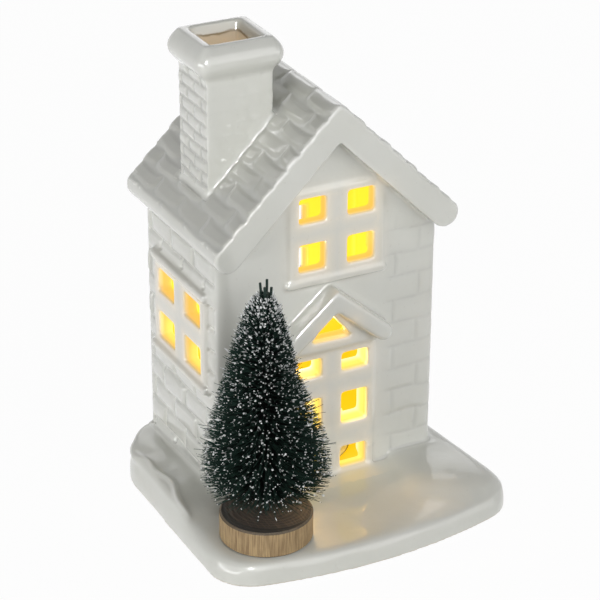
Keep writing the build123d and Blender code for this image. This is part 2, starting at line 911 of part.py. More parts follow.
with BuildPart() as positive_contact:
    with BuildSketch(Plane(origin=(house_x + clip_u, house_y, 0), x_dir=(1, 0, 0), z_dir=(0, -1, 0))):
        with BuildLine():
            Polyline(
                (0, board_z),
                (0, board_z - clip_drop),
                (contact_thickness, board_z - clip_drop),
                (contact_thickness, board_z - contact_thickness),
                (clip_tab, board_z - contact_thickness),
                (clip_tab, board_z),
                close=True,
            )
        make_face()
    extrude(amount=contact_width / 2, both=True)
save(positive_contact, "positive_contact")

with BuildPart() as battery_cover:
    with BuildSketch(level(unit_bottom)):
        cover_outline()
        make_hull()
    extrude(amount=cover_thickness)
    with BuildSketch(level(cover_top, cell_u)):
        Circle(cell_radius)
    extrude(amount=cover_boss)
    with BuildSketch(level(unit_bottom, screw_u, screw_v)):
        Circle(screw_radius + fit_gap)
    extrude(amount=cover_thickness, mode=Mode.SUBTRACT)
save(battery_cover, "battery_cover")

with BuildPart() as cover_screw:
    with BuildSketch(level(unit_bottom, screw_u, screw_v)):
        Circle(screw_head_radius)
    extrude(amount=-screw_head_height)
    fillet(cover_screw.edges().sort_by(Axis.Z)[0], radius=screw_slot_depth)
    with BuildSketch(level(unit_bottom - screw_head_height, screw_u, screw_v)):
        Rectangle(2 * screw_radius, screw_slot_width)
        Rectangle(screw_slot_width, 2 * screw_radius)
    extrude(amount=screw_slot_depth, mode=Mode.SUBTRACT)
    with BuildSketch(level(unit_bottom, screw_u, screw_v)):
        Circle(screw_radius)
    extrude(amount=screw_top - unit_bottom)
save(cover_screw, "cover_screw")

# Slide switch: a can on the board, and the slider that stands out of the flange
with BuildPart() as switch_body:
    with BuildSketch(level(switch_bottom, switch_u, switch_v)):
        Rectangle(switch_width, switch_length)
    extrude(amount=switch_height)
    with BuildSketch(level(switch_bottom + switch_sheet, switch_u, switch_v)):
        Rectangle(slider_width + 2 * running_gap, slider_length + switch_travel + 2 * running_gap)
    extrude(amount=slider_height + 2 * running_gap, mode=Mode.SUBTRACT)
    with BuildSketch(level(switch_bottom, switch_u, switch_v)):
        Rectangle(slider_neck_width + 2 * running_gap, slot_length)
    extrude(amount=switch_sheet, mode=Mode.SUBTRACT)
save(switch_body, "switch_body")

with BuildPart() as switch_slider:
    with BuildSketch(level(slider_bottom, switch_u, slider_v)):
        Rectangle(slider_width, slider_length)
    extrude(amount=slider_height)
    with BuildSketch(level(unit_bottom - slider_proud, switch_u, slider_v)):
        Rectangle(slider_neck_width, slider_neck_length)
    extrude(amount=slider_bottom - unit_bottom + slider_proud)
save(switch_slider, "switch_slider")
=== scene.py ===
# %% [markdown]
# # A lit village house in glazed ceramic
# This lesson dresses a solid model of a small ornament: a hollow, slip-cast cottage on a snow
# base, with a battery light inside and a bottle-brush tree in front of it. The solid model
# already gives every piece its place and its size, so most cells only add one piece or one
# finish to it. Lengths are in millimetres, and MM turns them into Blender's metres.

# %% Load the solid model
import math
import bmesh
import bpy
import numpy as np
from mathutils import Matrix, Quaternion, Vector


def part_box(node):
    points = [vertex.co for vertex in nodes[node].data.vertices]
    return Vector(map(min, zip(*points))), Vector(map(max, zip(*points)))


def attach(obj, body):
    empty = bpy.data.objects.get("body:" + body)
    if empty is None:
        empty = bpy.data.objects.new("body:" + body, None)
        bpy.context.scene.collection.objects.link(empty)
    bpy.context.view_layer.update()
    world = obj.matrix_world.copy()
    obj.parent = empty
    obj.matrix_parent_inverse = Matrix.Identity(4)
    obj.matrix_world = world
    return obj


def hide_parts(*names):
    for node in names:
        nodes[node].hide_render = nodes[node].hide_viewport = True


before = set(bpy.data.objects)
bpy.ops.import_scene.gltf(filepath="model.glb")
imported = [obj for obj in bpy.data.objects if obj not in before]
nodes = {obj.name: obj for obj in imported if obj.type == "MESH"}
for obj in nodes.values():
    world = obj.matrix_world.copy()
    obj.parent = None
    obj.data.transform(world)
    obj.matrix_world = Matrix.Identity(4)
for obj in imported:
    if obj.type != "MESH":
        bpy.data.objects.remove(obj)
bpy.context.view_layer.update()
scene = bpy.context.scene
MM = 0.001

# %% [markdown]
# A long lens stands well back, as it does in a product shot, so that upright edges stay nearly
# parallel. The camera looks down on the front left corner of the house. Its place comes from
# lining up the corners of the solid model with the picture, and a slight roll is part of that.

# %% Camera
camera_place = (-320.70, -608.31, 412.64)
lens_length, sensor_width = 144, 36
camera_azimuth, camera_elevation, camera_roll = (math.radians(a) for a in (-27.509, 26.561, 0.28))

camera = bpy.data.objects.new("camera", bpy.data.cameras.new("camera"))
camera.data.lens, camera.data.sensor_width = lens_length, sensor_width
towards = Vector((
    -math.sin(camera_azimuth) * math.cos(camera_elevation),
    math.cos(camera_azimuth) * math.cos(camera_elevation),
    -math.sin(camera_elevation),
))
camera.location = Vector(camera_place) * MM
camera.rotation_mode = "QUATERNION"
camera.rotation_quaternion = towards.to_track_quat("-Z", "Y") @ Quaternion((0, 0, 1), camera_roll)
scene.collection.objects.link(camera)
scene.camera = camera
print("camera", round(camera.location.length, 3), "m from the origin")

# %% [markdown]
# Finishes are written as sums. A shader socket is wrapped in a small class whose operators add
# Math nodes, so a mask can be written as `1 - speck * 0.4`.

# %% Sums of shader values
def plug(tree, value, socket):
    """Links a wrapped socket, or sets a plain value."""
    if isinstance(value, Shade):
        tree.links.new(value.socket, socket)
    else:
        socket.default_value = value


class Shade:
    """One varying value of a finish."""

    def __init__(self, tree, socket):
        self.tree, self.socket = tree, socket

    def math(self, operation, *values):
        """A Math node on the values given, or on this value alone."""
        made = self.tree.nodes.new("ShaderNodeMath")
        made.operation = operation
        for value, socket in zip(values or (self,), made.inputs):
            plug(self.tree, value, socket)
        return Shade(self.tree, made.outputs[0])

    def __add__(self, other):
        return self.math("ADD", self, other)

    def __sub__(self, other):
        return self.math("SUBTRACT", self, other)

    def __rsub__(self, other):
        return self.math("SUBTRACT", other, self)

    def __mul__(self, other):
        return self.math("MULTIPLY", self, other)

    __radd__, __rmul__ = __add__, __mul__

    def over(self, low, high):
        """0 below low, 1 above high, and a soft step between."""
        made = self.tree.nodes.new("ShaderNodeMapRange")
        made.interpolation_type = "SMOOTHSTEP"
        for value, name in ((self, "Value"), (low, "From Min"), (high, "From Max")):
            plug(self.tree, value, made.inputs[name])
        return Shade(self.tree, made.outputs[0])


print("shader values can be added, subtracted and multiplied")

# %% [markdown]
# A second class holds one finish, made round a single Principled shader. Its `node` method makes
# any other node from its type, its settings and its sockets, and short methods over it name the
# few nodes that come back in every finish: place, noise, colour blend and bump.

# %% One finish
class Finish:
    """A material made round one Principled shader."""

    def __init__(self, name, **constants):
        self.material = bpy.data.materials.new(name)
        self.material.use_nodes = True
        self.tree = self.material.node_tree
        self.surface = self.tree.nodes["Principled BSDF"]
        for socket, value in constants.items():
            self.surface.inputs[socket.replace("_", " ")].default_value = value

    def node(self, kind, settings=(), sockets=(), output=0):
        """Any node: settings first, then the values or links of its sockets."""
        made = self.tree.nodes.new(kind)
        for name, value in dict(settings).items():
            setattr(made, name, value)
        for name, value in dict(sockets).items():
            plug(self.tree, value, next(s for s in made.inputs if name in (s.identifier, s.name)))
        outputs = (s for k, s in enumerate(made.outputs) if output in (k, s.identifier, s.name))
        return Shade(self.tree, next(outputs))

    def place(self):
        """The point on the piece at rest, in metres."""
        return self.node("ShaderNodeTexCoord", output="Object")

    def height(self, vector):
        """The upward part of a point or a direction."""
        return self.node("ShaderNodeSeparateXYZ", {}, {"Vector": vector}, output="Z")

    def layer(self, name):
        """A value that is stored on the mesh."""
        return self.node("ShaderNodeAttribute", {"attribute_name": name}, output="Fac")

    def noise(self, grain, place=None, detail=3.0):
        """Noise from 0 to 1 whose lumps are about grain millimetres across."""
        settings = {"Vector": place or self.place(), "Scale": 1 / (grain * MM), "Detail": detail}
        return self.node("ShaderNodeTexNoise", {}, settings)

    def vector(self, operation, one, other, output="Vector"):
        """A Vector Math node on two vectors."""
        sockets = {"Vector": one, "Vector_001": other}
        return self.node("ShaderNodeVectorMath", {"operation": operation}, sockets, output=output)

    def blend(self, share, one, other):
        """One colour fading to another as share goes from 0 to 1."""
        colours = [c if isinstance(c, Shade) else (*c, 1) for c in (one, other)]
        sockets = {"Factor_Float": share, "A_Color": colours[0], "B_Color": colours[1]}
        return self.node("ShaderNodeMix", {"data_type": "RGBA"}, sockets, output="Result_Color")

    def bump(self, height, depth):
        """Small relief: height from 0 to 1 stands for depth in millimetres."""
        sockets = {"Height": height, "Distance": depth * MM, "Strength": 1.0}
        self.feed(Normal=self.node("ShaderNodeBump", {}, sockets))

    def feed(self, **links):
        """Plugs values into the Principled shader; an underscore stands for a space."""
        for name, value in links.items():
            plug(self.tree, value, self.surface.inputs[name.replace("_", " ")])

    def put_on(self, *objects):
        """Makes this the only finish of each object."""
        for each in objects:
            each.data.materials.clear()
            each.data.materials.append(self.material)


print("finishes are ready to be written")

# %% [markdown]
# The glazed ceramic is one fired piece: the potter joins the walls, roof, chimney, porch and base
# while the clay is soft, and the glaze runs over every joint. Sharp solids would never look like
# that. So copies of the nine ceramic solids are joined and remeshed into one skin, which can then
# be softened the way slip and glaze round an edge. The solids stay as they are underneath.

# %% One skin over the ceramic solids
ceramic_nodes = (
    "snow_base", "front_wall", "right_wall", "back_wall", "left_wall",
    "left_roof", "right_roof", "chimney", "porch",
)
skin_voxel = 0.45


def new_piece(name, mesh):
    """A new object in the scene."""
    piece = bpy.data.objects.new(name, mesh)
    scene.collection.objects.link(piece)
    return piece


def settle(piece, kind, **settings):
    """Gives a piece one modifier and turns it into plain mesh."""
    made = piece.modifiers.new(kind.lower(), kind)
    for name, value in settings.items():
        setattr(made, name, value)
    bpy.context.view_layer.update()
    mesh = bpy.data.meshes.new_from_object(piece.evaluated_get(bpy.context.evaluated_depsgraph_get()))
    piece.modifiers.clear()
    old, piece.data = piece.data, mesh
    bpy.data.meshes.remove(old)


joined = bmesh.new()
for name in ceramic_nodes:
    joined.from_mesh(nodes[name].data)
skin_mesh = bpy.data.meshes.new("ceramic_skin")
joined.to_mesh(skin_mesh)
joined.free()
skin = new_piece("ceramic_skin", skin_mesh)
settle(skin, "REMESH", mode="VOXEL", voxel_size=skin_voxel * MM)
print("skin:", len(skin.data.polygons), "faces")

# %% [markdown]
# The main planes of the house are read off the solids, so that bricks, glow and snow find their
# walls again if a size changes. Only the mouldings that stand proud of a wall have to be taken
# off a box to get back to the wall itself.

# %% Planes of the house
sill_proud, cap_proud, shingle_lap = 2.2, 3.33, 0.6


def box_of(name):
    """Lowest and highest corners of a node at rest, in millimetres."""
    return np.array(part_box(name)) / MM


left_x, right_x = box_of("left_wall")[0, 0] + sill_proud, box_of("right_wall")[1, 0] - sill_proud
front_y, back_y = box_of("porch")[1, 1], box_of("back_wall")[1, 1] - sill_proud
roof_low, roof_high = box_of("left_roof")
house_x, house_y = roof_high[0], (front_y + back_y) / 2
ridge_z = roof_high[2] + shingle_lap * math.sqrt(2)
stack_x, stack_y = box_of("chimney")[:, :2].mean(axis=0)
stack_half_x, stack_half_y = np.ptp(box_of("chimney")[:, :2], axis=0) / 2 - cap_proud
snow_low, snow_high = box_of("snow_base")
apron_z = box_of("tree_disc")[0, 2]
print("walls in mm: x", left_x.round(2), right_x.round(2), "y", front_y.round(2), back_y.round(2))

# %% [markdown]
# The panes are open holes in the walls. Their places are needed twice: the clay close to a pane
# keeps its edge while the rest is softened, and later it takes the glow. So they stand in one
# table, a row for each window, the door and the three-cornered light over it.

# %% Places of the panes
pane_half, side_pane_half, fan_half = 4.8, 5.9, 5.5
window_rows, door_rows = ((0.0, 9.4), (16.6, 25.0)), ((9.4, 17.4), (26.1, 37.7), (45.6, 52.2))
gable_foot, side_foot, back_foot, fan_row = 84.0, 50.5, 57.0, (58.6, 66.0)
side_middle = house_y - 2.0
reveal_reach, far_away = 8.0, 50.0


def lifted(foot):
    """Heights of a window's two rows of panes, when the lower row starts at the foot."""
    return [(foot + low, foot + high) for low, high in window_rows]


lit_panes = (
    # axis of the wall, its place, middle of the panes, step to their middles, half width, rows
    (1, front_y, house_x + 2.5, 8.6, pane_half, lifted(gable_foot)),
    (1, front_y, house_x + 1.2, 8.4, pane_half, door_rows),
    (1, front_y, house_x + 0.3, 0.0, fan_half, (fan_row,)),
    (1, back_y, house_x + 4.4, 8.6, pane_half, lifted(back_foot)),
    (0, left_x, side_middle, 9.7, side_pane_half, lifted(side_foot)),
    (0, right_x, side_middle, 9.7, side_pane_half, lifted(side_foot)),
)


def pane_distance(points):
    """Distance from each point to the nearest pane, measured along its wall."""
    nearest = np.full(len(points), far_away)
    for axis, place, middle, half_step, half, rows in lit_panes:
        on_wall = np.abs(points[:, axis] - place) < reveal_reach
        for side in (-1, 1):
            across = np.maximum(np.abs(points[:, 1 - axis] - middle - side * half_step) - half, 0)
            for low, high in rows:
                upward = np.maximum(np.maximum(low - points[:, 2], points[:, 2] - high), 0)
                nearest = np.where(on_wall, np.minimum(nearest, np.hypot(across, upward)), nearest)
    return nearest


print("panes:", sum((1 if half_step == 0 else 2) * len(rows) for _, _, _, half_step, _, rows in lit_panes))

# %% [markdown]
# The shape of a soft thing is worked out as numbers for every point of the skin. Once the points
# can be read and written as arrays, three helpers are enough: a soft step, a smooth random field,
# and a way to draw points towards the middle of their neighbours. The last one rounds edges, as
# wet slip does, and each point has its own share.

# %% Helpers for shaping the skin
def points_of(mesh, normals=False):
    """Vertices, or their normals, as an array; vertices come in millimetres."""
    source, name = (mesh.vertex_normals, "vector") if normals else (mesh.vertices, "co")
    flat = np.empty(len(mesh.vertices) * 3)
    source.foreach_get(name, flat)
    return flat.reshape(-1, 3) / (1 if normals else MM)


def edges_of(mesh):
    """The two points of each edge."""
    flat = np.empty(len(mesh.edges) * 2, dtype=np.int32)
    mesh.edges.foreach_get("vertices", flat)
    return flat.reshape(-1, 2)


def move_points(mesh, points):
    """Puts the vertices at points given in millimetres."""
    mesh.vertices.foreach_set("co", (points * MM).ravel())
    mesh.update()


def step(value, low, high):
    """Soft step from 0 at low to 1 at high."""
    share = np.clip((value - low) / (high - low), 0, 1)
    return share * share * (3 - 2 * share)


def drift(points, grain, seed, cells=24):
    """A smooth random field from -1 to 1 with bumps about grain millimetres across."""
    lattice = np.random.default_rng(seed).uniform(-1, 1, (cells, cells, cells))
    place = points / grain
    low = np.floor(place).astype(int)
    part = place - low
    part = part * part * (3 - 2 * part)
    total = np.zeros(len(points))
    for corner in np.ndindex(2, 2, 2):
        pick = (low + corner) % cells
        weight = np.where(np.array(corner) == 1, part, 1 - part).prod(axis=1)
        total += weight * lattice[pick[:, 0], pick[:, 1], pick[:, 2]]
    return total


def soften(points, edges, share, rounds):
    """Draws each point towards the middle of its neighbours by its share, several times over."""
    ends = np.concatenate([edges, edges[:, ::-1]])
    ends = ends[share[ends[:, 0]] > 0]
    moving, row = np.unique(ends[:, 0], return_inverse=True)
    count, drawn = np.bincount(row)[:, None], share[moving][:, None]
    points = points.copy()
    for _ in range(rounds):
        total = np.stack([np.bincount(row, points[ends[:, 1], k]) for k in range(3)], axis=1)
        points[moving] += drawn * (total / count - points[moving])
    return points


print("half way up a soft step:", step(np.array([0.5]), 0, 1)[0])

# %% [markdown]
# A soft thing is shaped by asking of every point where it lies: how deep below the roof's upper
# face, how near the chimney, how far behind the outer faces of the house. Each answer is an array
# with one number for each point, and such arrays can be multiplied together into a mask.

# %% Where a point lies
slope_middle, slope_reach, stack_clear = 0.7, 2.2, 0.7


def roof_depth(points):
    """How far a point lies below the roof's upper face, square to the slope."""
    return (ridge_z - np.abs(points[:, 0] - house_x) - points[:, 2]) * math.sqrt(0.5)


def by_stack(points, reach):
    """True within reach of the chimney's sides."""
    near_x = np.abs(points[:, 0] - stack_x) < stack_half_x + reach
    return near_x & (np.abs(points[:, 1] - stack_y) < stack_half_y + reach)


def on_slopes(points, margin):
    """1 on the upper face of the roof, fading to 0 over a margin at its verges and eaves."""
    from_verge = np.minimum(points[:, 1] - roof_low[1], roof_high[1] - points[:, 1])
    from_eave = house_x - roof_low[0] - np.abs(points[:, 0] - house_x)
    top = np.abs(roof_depth(points) - slope_middle) < slope_reach
    fade = step(from_verge, 0.2 * margin, margin) * step(from_eave, 0.1 * margin, margin)
    return top * fade * ~by_stack(points, stack_clear)


def depth_inside(points):
    """How far a point lies behind the outer faces of the house; negative in front of them."""
    x, y, _ = points.T
    return np.minimum.reduce([x - left_x, right_x - x, y - front_y, back_y - y, roof_depth(points)])


at, edges = points_of(skin.data), edges_of(skin.data)
print("points of the skin:", len(at), "and behind the outer faces:", (depth_inside(at) > 0).sum())

# %% [markdown]
# Everything gets the same light rounding first. The snow and the porch hood are soft mounds on
# the real piece, where slip has run together, so they are rounded far more. The bank of snow on
# the right is rounded longest: it is a single low swell.

# %% Soften the snow and the porch hood
half_way, spare = 0.5, 1.0
all_rounds, snow_rounds, bank_rounds, hood_rounds = 5, 50, 260, 44
foot_fade, wall_fade = (1.2, 3.0), (0.4, 1.6)
bank_fade, apron_fade = (house_x + 14, house_x + 22), (apron_z - 1, apron_z + 1)
hood_proud = 3.2
porch_low, porch_high = box_of("porch")
porch_middle, porch_half = (porch_low[0] + porch_high[0]) / 2, (porch_high[0] - porch_low[0]) / 2

at = soften(at, edges, np.full(len(at), half_way), all_rounds)
snow_share = half_way * step(at[:, 2], *foot_fade) * (at[:, 2] < snow_high[2] + spare)
snow_share = snow_share * step(-depth_inside(at), *wall_fade)
at = soften(at, edges, snow_share, snow_rounds)
right_bank = snow_share * step(at[:, 0], *bank_fade) * step(at[:, 2], *apron_fade)
at = soften(at, edges, right_bank, bank_rounds)
hood = (at[:, 1] < front_y - hood_proud) & (at[:, 2] > porch_low[2]) & (at[:, 2] < porch_high[2] + spare)
hood = hood & (np.abs(at[:, 0] - porch_middle) < porch_half + spare)
at = soften(at, edges, half_way * hood, hood_rounds)
print("softened", (snow_share > 0).sum(), "points of snow and", hood.sum(), "of the porch hood")

# %% [markdown]
# The stepped courses of the roof are nearly melted away here, because a later cell lays pillowed
# shingles over them. Glaze fills the corner where the chimney stands on the roof and the one
# where the gable meets the underside of the roof's front edge, so both become small hollows. The
# mouth of the flue opens a little to the front, as a hand-wiped rim does.

# %% Soften the roof and the chimney
slope_rounds, slope_margin = 50, 1.6
stack_foot_rounds, stack_foot_reach, stack_foot_depth = 16, 2.2, 2.0
verge_rounds, verge_depth, verge_reach = 70, 9.3, 3.0
gable_corner, gable_reach = front_y - 1.2, 2.8
flue_top = box_of("chimney")[1, 2]
mouth_fade, mouth_y = (flue_top - 11.4, flue_top - 2.4), stack_y - stack_half_y + 2.6
mouth_width, mouth_shift, mouth_skin = 1.3, 2.4, 2.0

mouth = step(at[:, 2], *mouth_fade) * np.exp(-(((at[:, 1] - mouth_y) / mouth_width) ** 2))
at[:, 1] -= mouth_shift * mouth * by_stack(at, -mouth_skin)
at = soften(at, edges, half_way * on_slopes(at, slope_margin), slope_rounds)
stack_foot = by_stack(at, stack_foot_reach) & (np.abs(roof_depth(at)) < stack_foot_depth)
at = soften(at, edges, half_way * stack_foot, stack_foot_rounds)
under_verge = np.abs(roof_depth(at) - verge_depth) < verge_reach
under_verge = under_verge & (np.abs(at[:, 1] - gable_corner) < gable_reach) & (at[:, 2] > roof_low[2])
at = soften(at, edges, half_way * under_verge, verge_rounds)
print("softened", stack_foot.sum(), "points at the chimney's foot and", under_verge.sum(), "under the verge")

# %% [markdown]
# Window plates and sills melt into their walls, least on the left, and on the right they are
# pressed nearly flush. Close to a pane the clay keeps its edge. Behind the door the clay is
# thicker, which makes the lit edges of its panes broad.

# %% Soften the walls and line the door
wall_rounds, more_rounds = 5, 15
wall_middle, wall_reach, under_eaves, off_left = 1.0, 2.2, 4.0, 1.5
pane_fade = (0.8, 2.0)
right_proud_share, above_snow, below_roof = 0.3, 4.0, 2.0
door_liner, door_reach, door_depth = 3.0, 18.0, 5.0
liner_fade, liner_foot = (1.5, 4.0), (apron_z + 1.0, apron_z + 3.0)

on_walls = np.abs(depth_inside(at) + wall_middle) < wall_reach
on_walls = on_walls & (at[:, 2] > snow_high[2] + spare) & (roof_depth(at) > under_eaves)
on_walls = on_walls * step(pane_distance(at), *pane_fade)
at = soften(at, edges, half_way * on_walls, wall_rounds)
at = soften(at, edges, half_way * on_walls * (at[:, 0] > left_x + off_left), more_rounds)
flush = (at[:, 0] > right_x) & (at[:, 2] > snow_high[2] + above_snow) & (at[:, 2] < roof_low[2] - below_roof)
at[:, 0] = np.where(flush, right_x + right_proud_share * (at[:, 0] - right_x), at[:, 0])
by_door = (np.abs(at[:, 0] - house_x) < door_reach) & (at[:, 2] < porch_low[2])
by_door = by_door & (at[:, 1] < front_y + door_depth)
by_door = by_door * step(depth_inside(at), *liner_fade) * step(at[:, 2], *liner_foot)
at[:, 1] += door_liner * by_door
move_points(skin.data, at)
print("pressed", flush.sum(), "points flush on the right and lined the door by", door_liner, "mm")

# %% [markdown]
# The mould is carved, so the bricks are soft waves rather than cuts. Every flat of the house gets
# its own running bond: the left wall is cut deepest and the front is almost smooth, as if the
# front of the mould had worn. A flat is picked by where it lies and which way it faces, and the
# raised window plates stay plain because they stand proud of it.

# %% Bricks
# course height, brick length and half width of a joint
wall_brick, bold_brick, stack_brick = (8.3, 17.5, 0.62), (7.7, 16.2, 0.62), (4.1, 9.0, 0.45)
flats = (
    # axis, place, side it faces, depth of the joints, brick, whether it is the chimney
    (0, left_x, -1, 1.3, bold_brick, False),
    (0, right_x, 1, 1.0, wall_brick, False),
    (1, front_y, -1, 0.3, wall_brick, False),
    (1, back_y, 1, 1.0, wall_brick, False),
    (0, stack_x - stack_half_x, -1, 0.85, stack_brick, True),
    (0, stack_x + stack_half_x, 1, 0.45, stack_brick, True),
    (1, stack_y - stack_half_y, -1, 0.06, stack_brick, True),
    (1, stack_y + stack_half_y, 1, 0.45, stack_brick, True),
)
facing_fade, flat_reach = (0.75, 0.95), 0.9
front_bricks, front_top, front_fade = (house_x + 19, house_x + 24), 100.0, 12.0
brick_wave, course_wave, brick_luck = 0.5, 0.45, 0.3
crisp_share, soft_width = 0.75, 4.0
over_roof, brick_foot = -1.0, apron_z + 1.0
luck_count, brick_key, course_key = 997, 57, 131  # the keys tell bricks apart


def luck_of(numbers, seed):
    """A random value from -1 to 1 for each whole number."""
    return np.random.default_rng(seed).uniform(-1, 1, luck_count)[numbers.astype(int) % luck_count]


def running_bond(u, v, course, length, joint, seed):
    """Depth of the joints, from 0 to 1, and a random value for each brick."""
    row = np.floor(v / course)
    along = u / length + 0.5 * (row % 2)
    upright = np.abs(along - np.round(along)) * length
    gap = np.minimum(upright, np.abs(v / course - np.round(v / course)) * course)
    crisp, soft = np.exp(-((gap / joint) ** 2)), np.exp(-((gap / (soft_width * joint)) ** 2))
    number = np.floor(along) * brick_key + row * course_key
    return crisp_share * crisp + (1 - crisp_share) * soft, luck_of(number, seed)


def brick_relief(points, normals, wavy):
    """Height of the brickwork, and how far each point lies in a joint."""
    push, joints = np.zeros(len(points)), np.zeros(len(points))
    x, z = points[:, 0], points[:, 2]
    unworn = step(x, *front_bricks) * step(front_top - z, 0, front_fade)
    above = roof_depth(points) < over_roof
    for axis, place, side, depth, brick, stack in flats:
        flat = step(side * normals[:, axis], *facing_fade) * (np.abs(points[:, axis] - place) < flat_reach)
        flat = flat * (above if stack else ~above) * (z > brick_foot)
        if axis == 1 and side == -1 and not stack:
            flat = flat * unworn
        u, v = points[:, 1 - axis] + brick_wave * wavy[0], z + course_wave * wavy[1]
        groove, luck = running_bond(u, v, *brick, seed=axis + 10 * (side + 2))
        push += flat * depth * (brick_luck * luck - groove)
        joints = np.maximum(joints, flat * groove * min(1, depth))
    return push, joints


print("flats with bricks:", len(flats), "and the deepest joints in mm:", max(row[3] for row in flats))

# %% [markdown]
# The shingles are round-ended scales, laid in courses that are shifted by half a shingle. Each is
# a low pillow with its own height. Glaze pools in the seams between them, and the seams are also
# painted darker as painted shade.

# %% Shingles
shingle_length, shingle_width, shingle_margin = 6.51, 17.0, 0.8
down_wave, side_wave = 0.7, 0.9
round_end, pillow_rise, pillow_fall = 0.22, (0.0, 0.3), (0.7, 1.02)
pillow_height, pillow_luck, slope_up = 0.45, 0.15, (0.2, 0.5)
along_key, down_key, side_key = 37, 91, 211  # the keys tell shingles apart


def shingle_relief(points, normals, wavy):
    """Height of the shingles, and how far each point lies in a seam."""
    slope = on_slopes(points, shingle_margin) * step(normals[:, 2], *slope_up)
    down = (np.abs(points[:, 0] - house_x) * math.sqrt(2) + down_wave * wavy[0]) / shingle_length
    along = (points[:, 1] - house_y + side_wave * wavy[1]) / shingle_width - 0.5 * (np.floor(down) % 2)
    across = 2 * (along % 1) - 1
    fall = down % 1 + round_end * across**4
    pillow = step(fall, *pillow_rise) * (1 - step(fall, *pillow_fall)) * (1 - across**8)
    number = np.floor(along) * along_key + np.floor(down) * down_key + (points[:, 0] > house_x) * side_key
    return slope * pillow * (pillow_height + pillow_luck * luck_of(number, 8)), slope * (1 - pillow) ** 3


print("courses on a slope:", round((house_x - roof_low[0]) * math.sqrt(2) / shingle_length, 1))

# %% [markdown]
# The snow has slow lumps, and the bank on the left carries a wavy crest along its outer edge. All
# the relief is then pushed out of the skin at once, and the mesh is thinned, because the smooth
# parts no longer need so many faces.

# %% Lumps of snow, and carving
lumps = ((0.60, 14, 4), (0.16, 6, 5))  # height, size and seed
crest_x, crest_height, crest_width = snow_low[0] + 3.4, 1.0, 0.9
crest_waves = ((0.9, 6.2, 0.6), (0.5, 2.6, 0.0))  # height, length and start
crest_off, crest_rise = 2, (apron_z, apron_z + 2)
snow_up, snow_foot, snow_off, snow_spare = (0.0, 0.5), (3, 5), (0.6, 2.5), 2
wavy_grain, hand_grain, hand_wave, carve_depth = 8, 5, 0.05, 2.0
last_share, last_rounds, kept_faces = 0.4, 2, 0.34


def snow_relief(points, normals):
    """Height of the lumps and of the crest of the left bank."""
    x, y, z = points.T
    snow = step(normals[:, 2], *snow_up) * (z < snow_high[2] + snow_spare) * step(z, *snow_foot)
    snow = snow * step(-depth_inside(points), *snow_off)
    bank = step(left_x - crest_off - x, 0, crest_off) * step(z, *crest_rise)
    wave = np.full(len(points), crest_x)
    for height, length, start in crest_waves:
        wave += height * np.sin(y / length + start)
    crest = crest_height * np.exp(-(((x - wave) / crest_width) ** 2)) * bank
    return snow * sum(height * drift(points, size, seed) for height, size, seed in lumps) + crest


def carve(points, normals):
    """Height of the relief in millimetres, and the joints from 0 to 1, at each point."""
    wavy = [drift(points, wavy_grain, seed) for seed in (2, 3)]
    bricks, joints = brick_relief(points, normals, wavy)
    shingles, seams = shingle_relief(points, normals, wavy)
    push = bricks + shingles + snow_relief(points, normals) + hand_wave * drift(points, hand_grain, 1)
    return push * (depth_inside(points) < carve_depth), np.maximum(joints, seams)


at, facing = points_of(skin.data), points_of(skin.data, normals=True)
push, _ = carve(at, facing)
at = soften(at + facing * push[:, None], edges, np.full(len(at), last_share), last_rounds)
move_points(skin.data, at)
settle(skin, "DECIMATE", ratio=kept_faces)
print("carved skin:", len(skin.data.polygons), "faces, relief", push.min().round(2), push.max().round(2))

# %% [markdown]
# The light unit makes the inside of the house glow, the cut edges of the panes are lit too, and a
# little warmth comes through the clay round them. Glaze pools in joints and hollows and runs thin
# on edges, and these places also take painted shade and painted highlights. What a finish has to
# know about a point is stored on the mesh under a short name, as one number for each point.

# %% Mark the glow and the run of the glaze
unlit, flue_unlit, lit_depth, outer_depth = -9.0, 12.0, 2.0, 1.0
flue_wall, flue_fade, flue_foot = 1.2, 2.0, (100, 110)
reveal_edge, reveal_fade, halo_reach = 0.7, 0.5, 2.3
bulge_rounds, thin_highlight_bulge, pooled_shade_bulge = 8, (0.03, 0.16), (0.02, 0.16)
ledge_up, ledge_proud, ledge_clear, verge_band = (0.05, 0.5), (0.1, 0.6), 4.0, 4.0


def mark(piece, name, values):
    """Stores one number for each point of a piece."""
    layer = piece.data.attributes.new(name, "FLOAT", "POINT")
    layer.data.foreach_set("value", values.astype(np.float32))


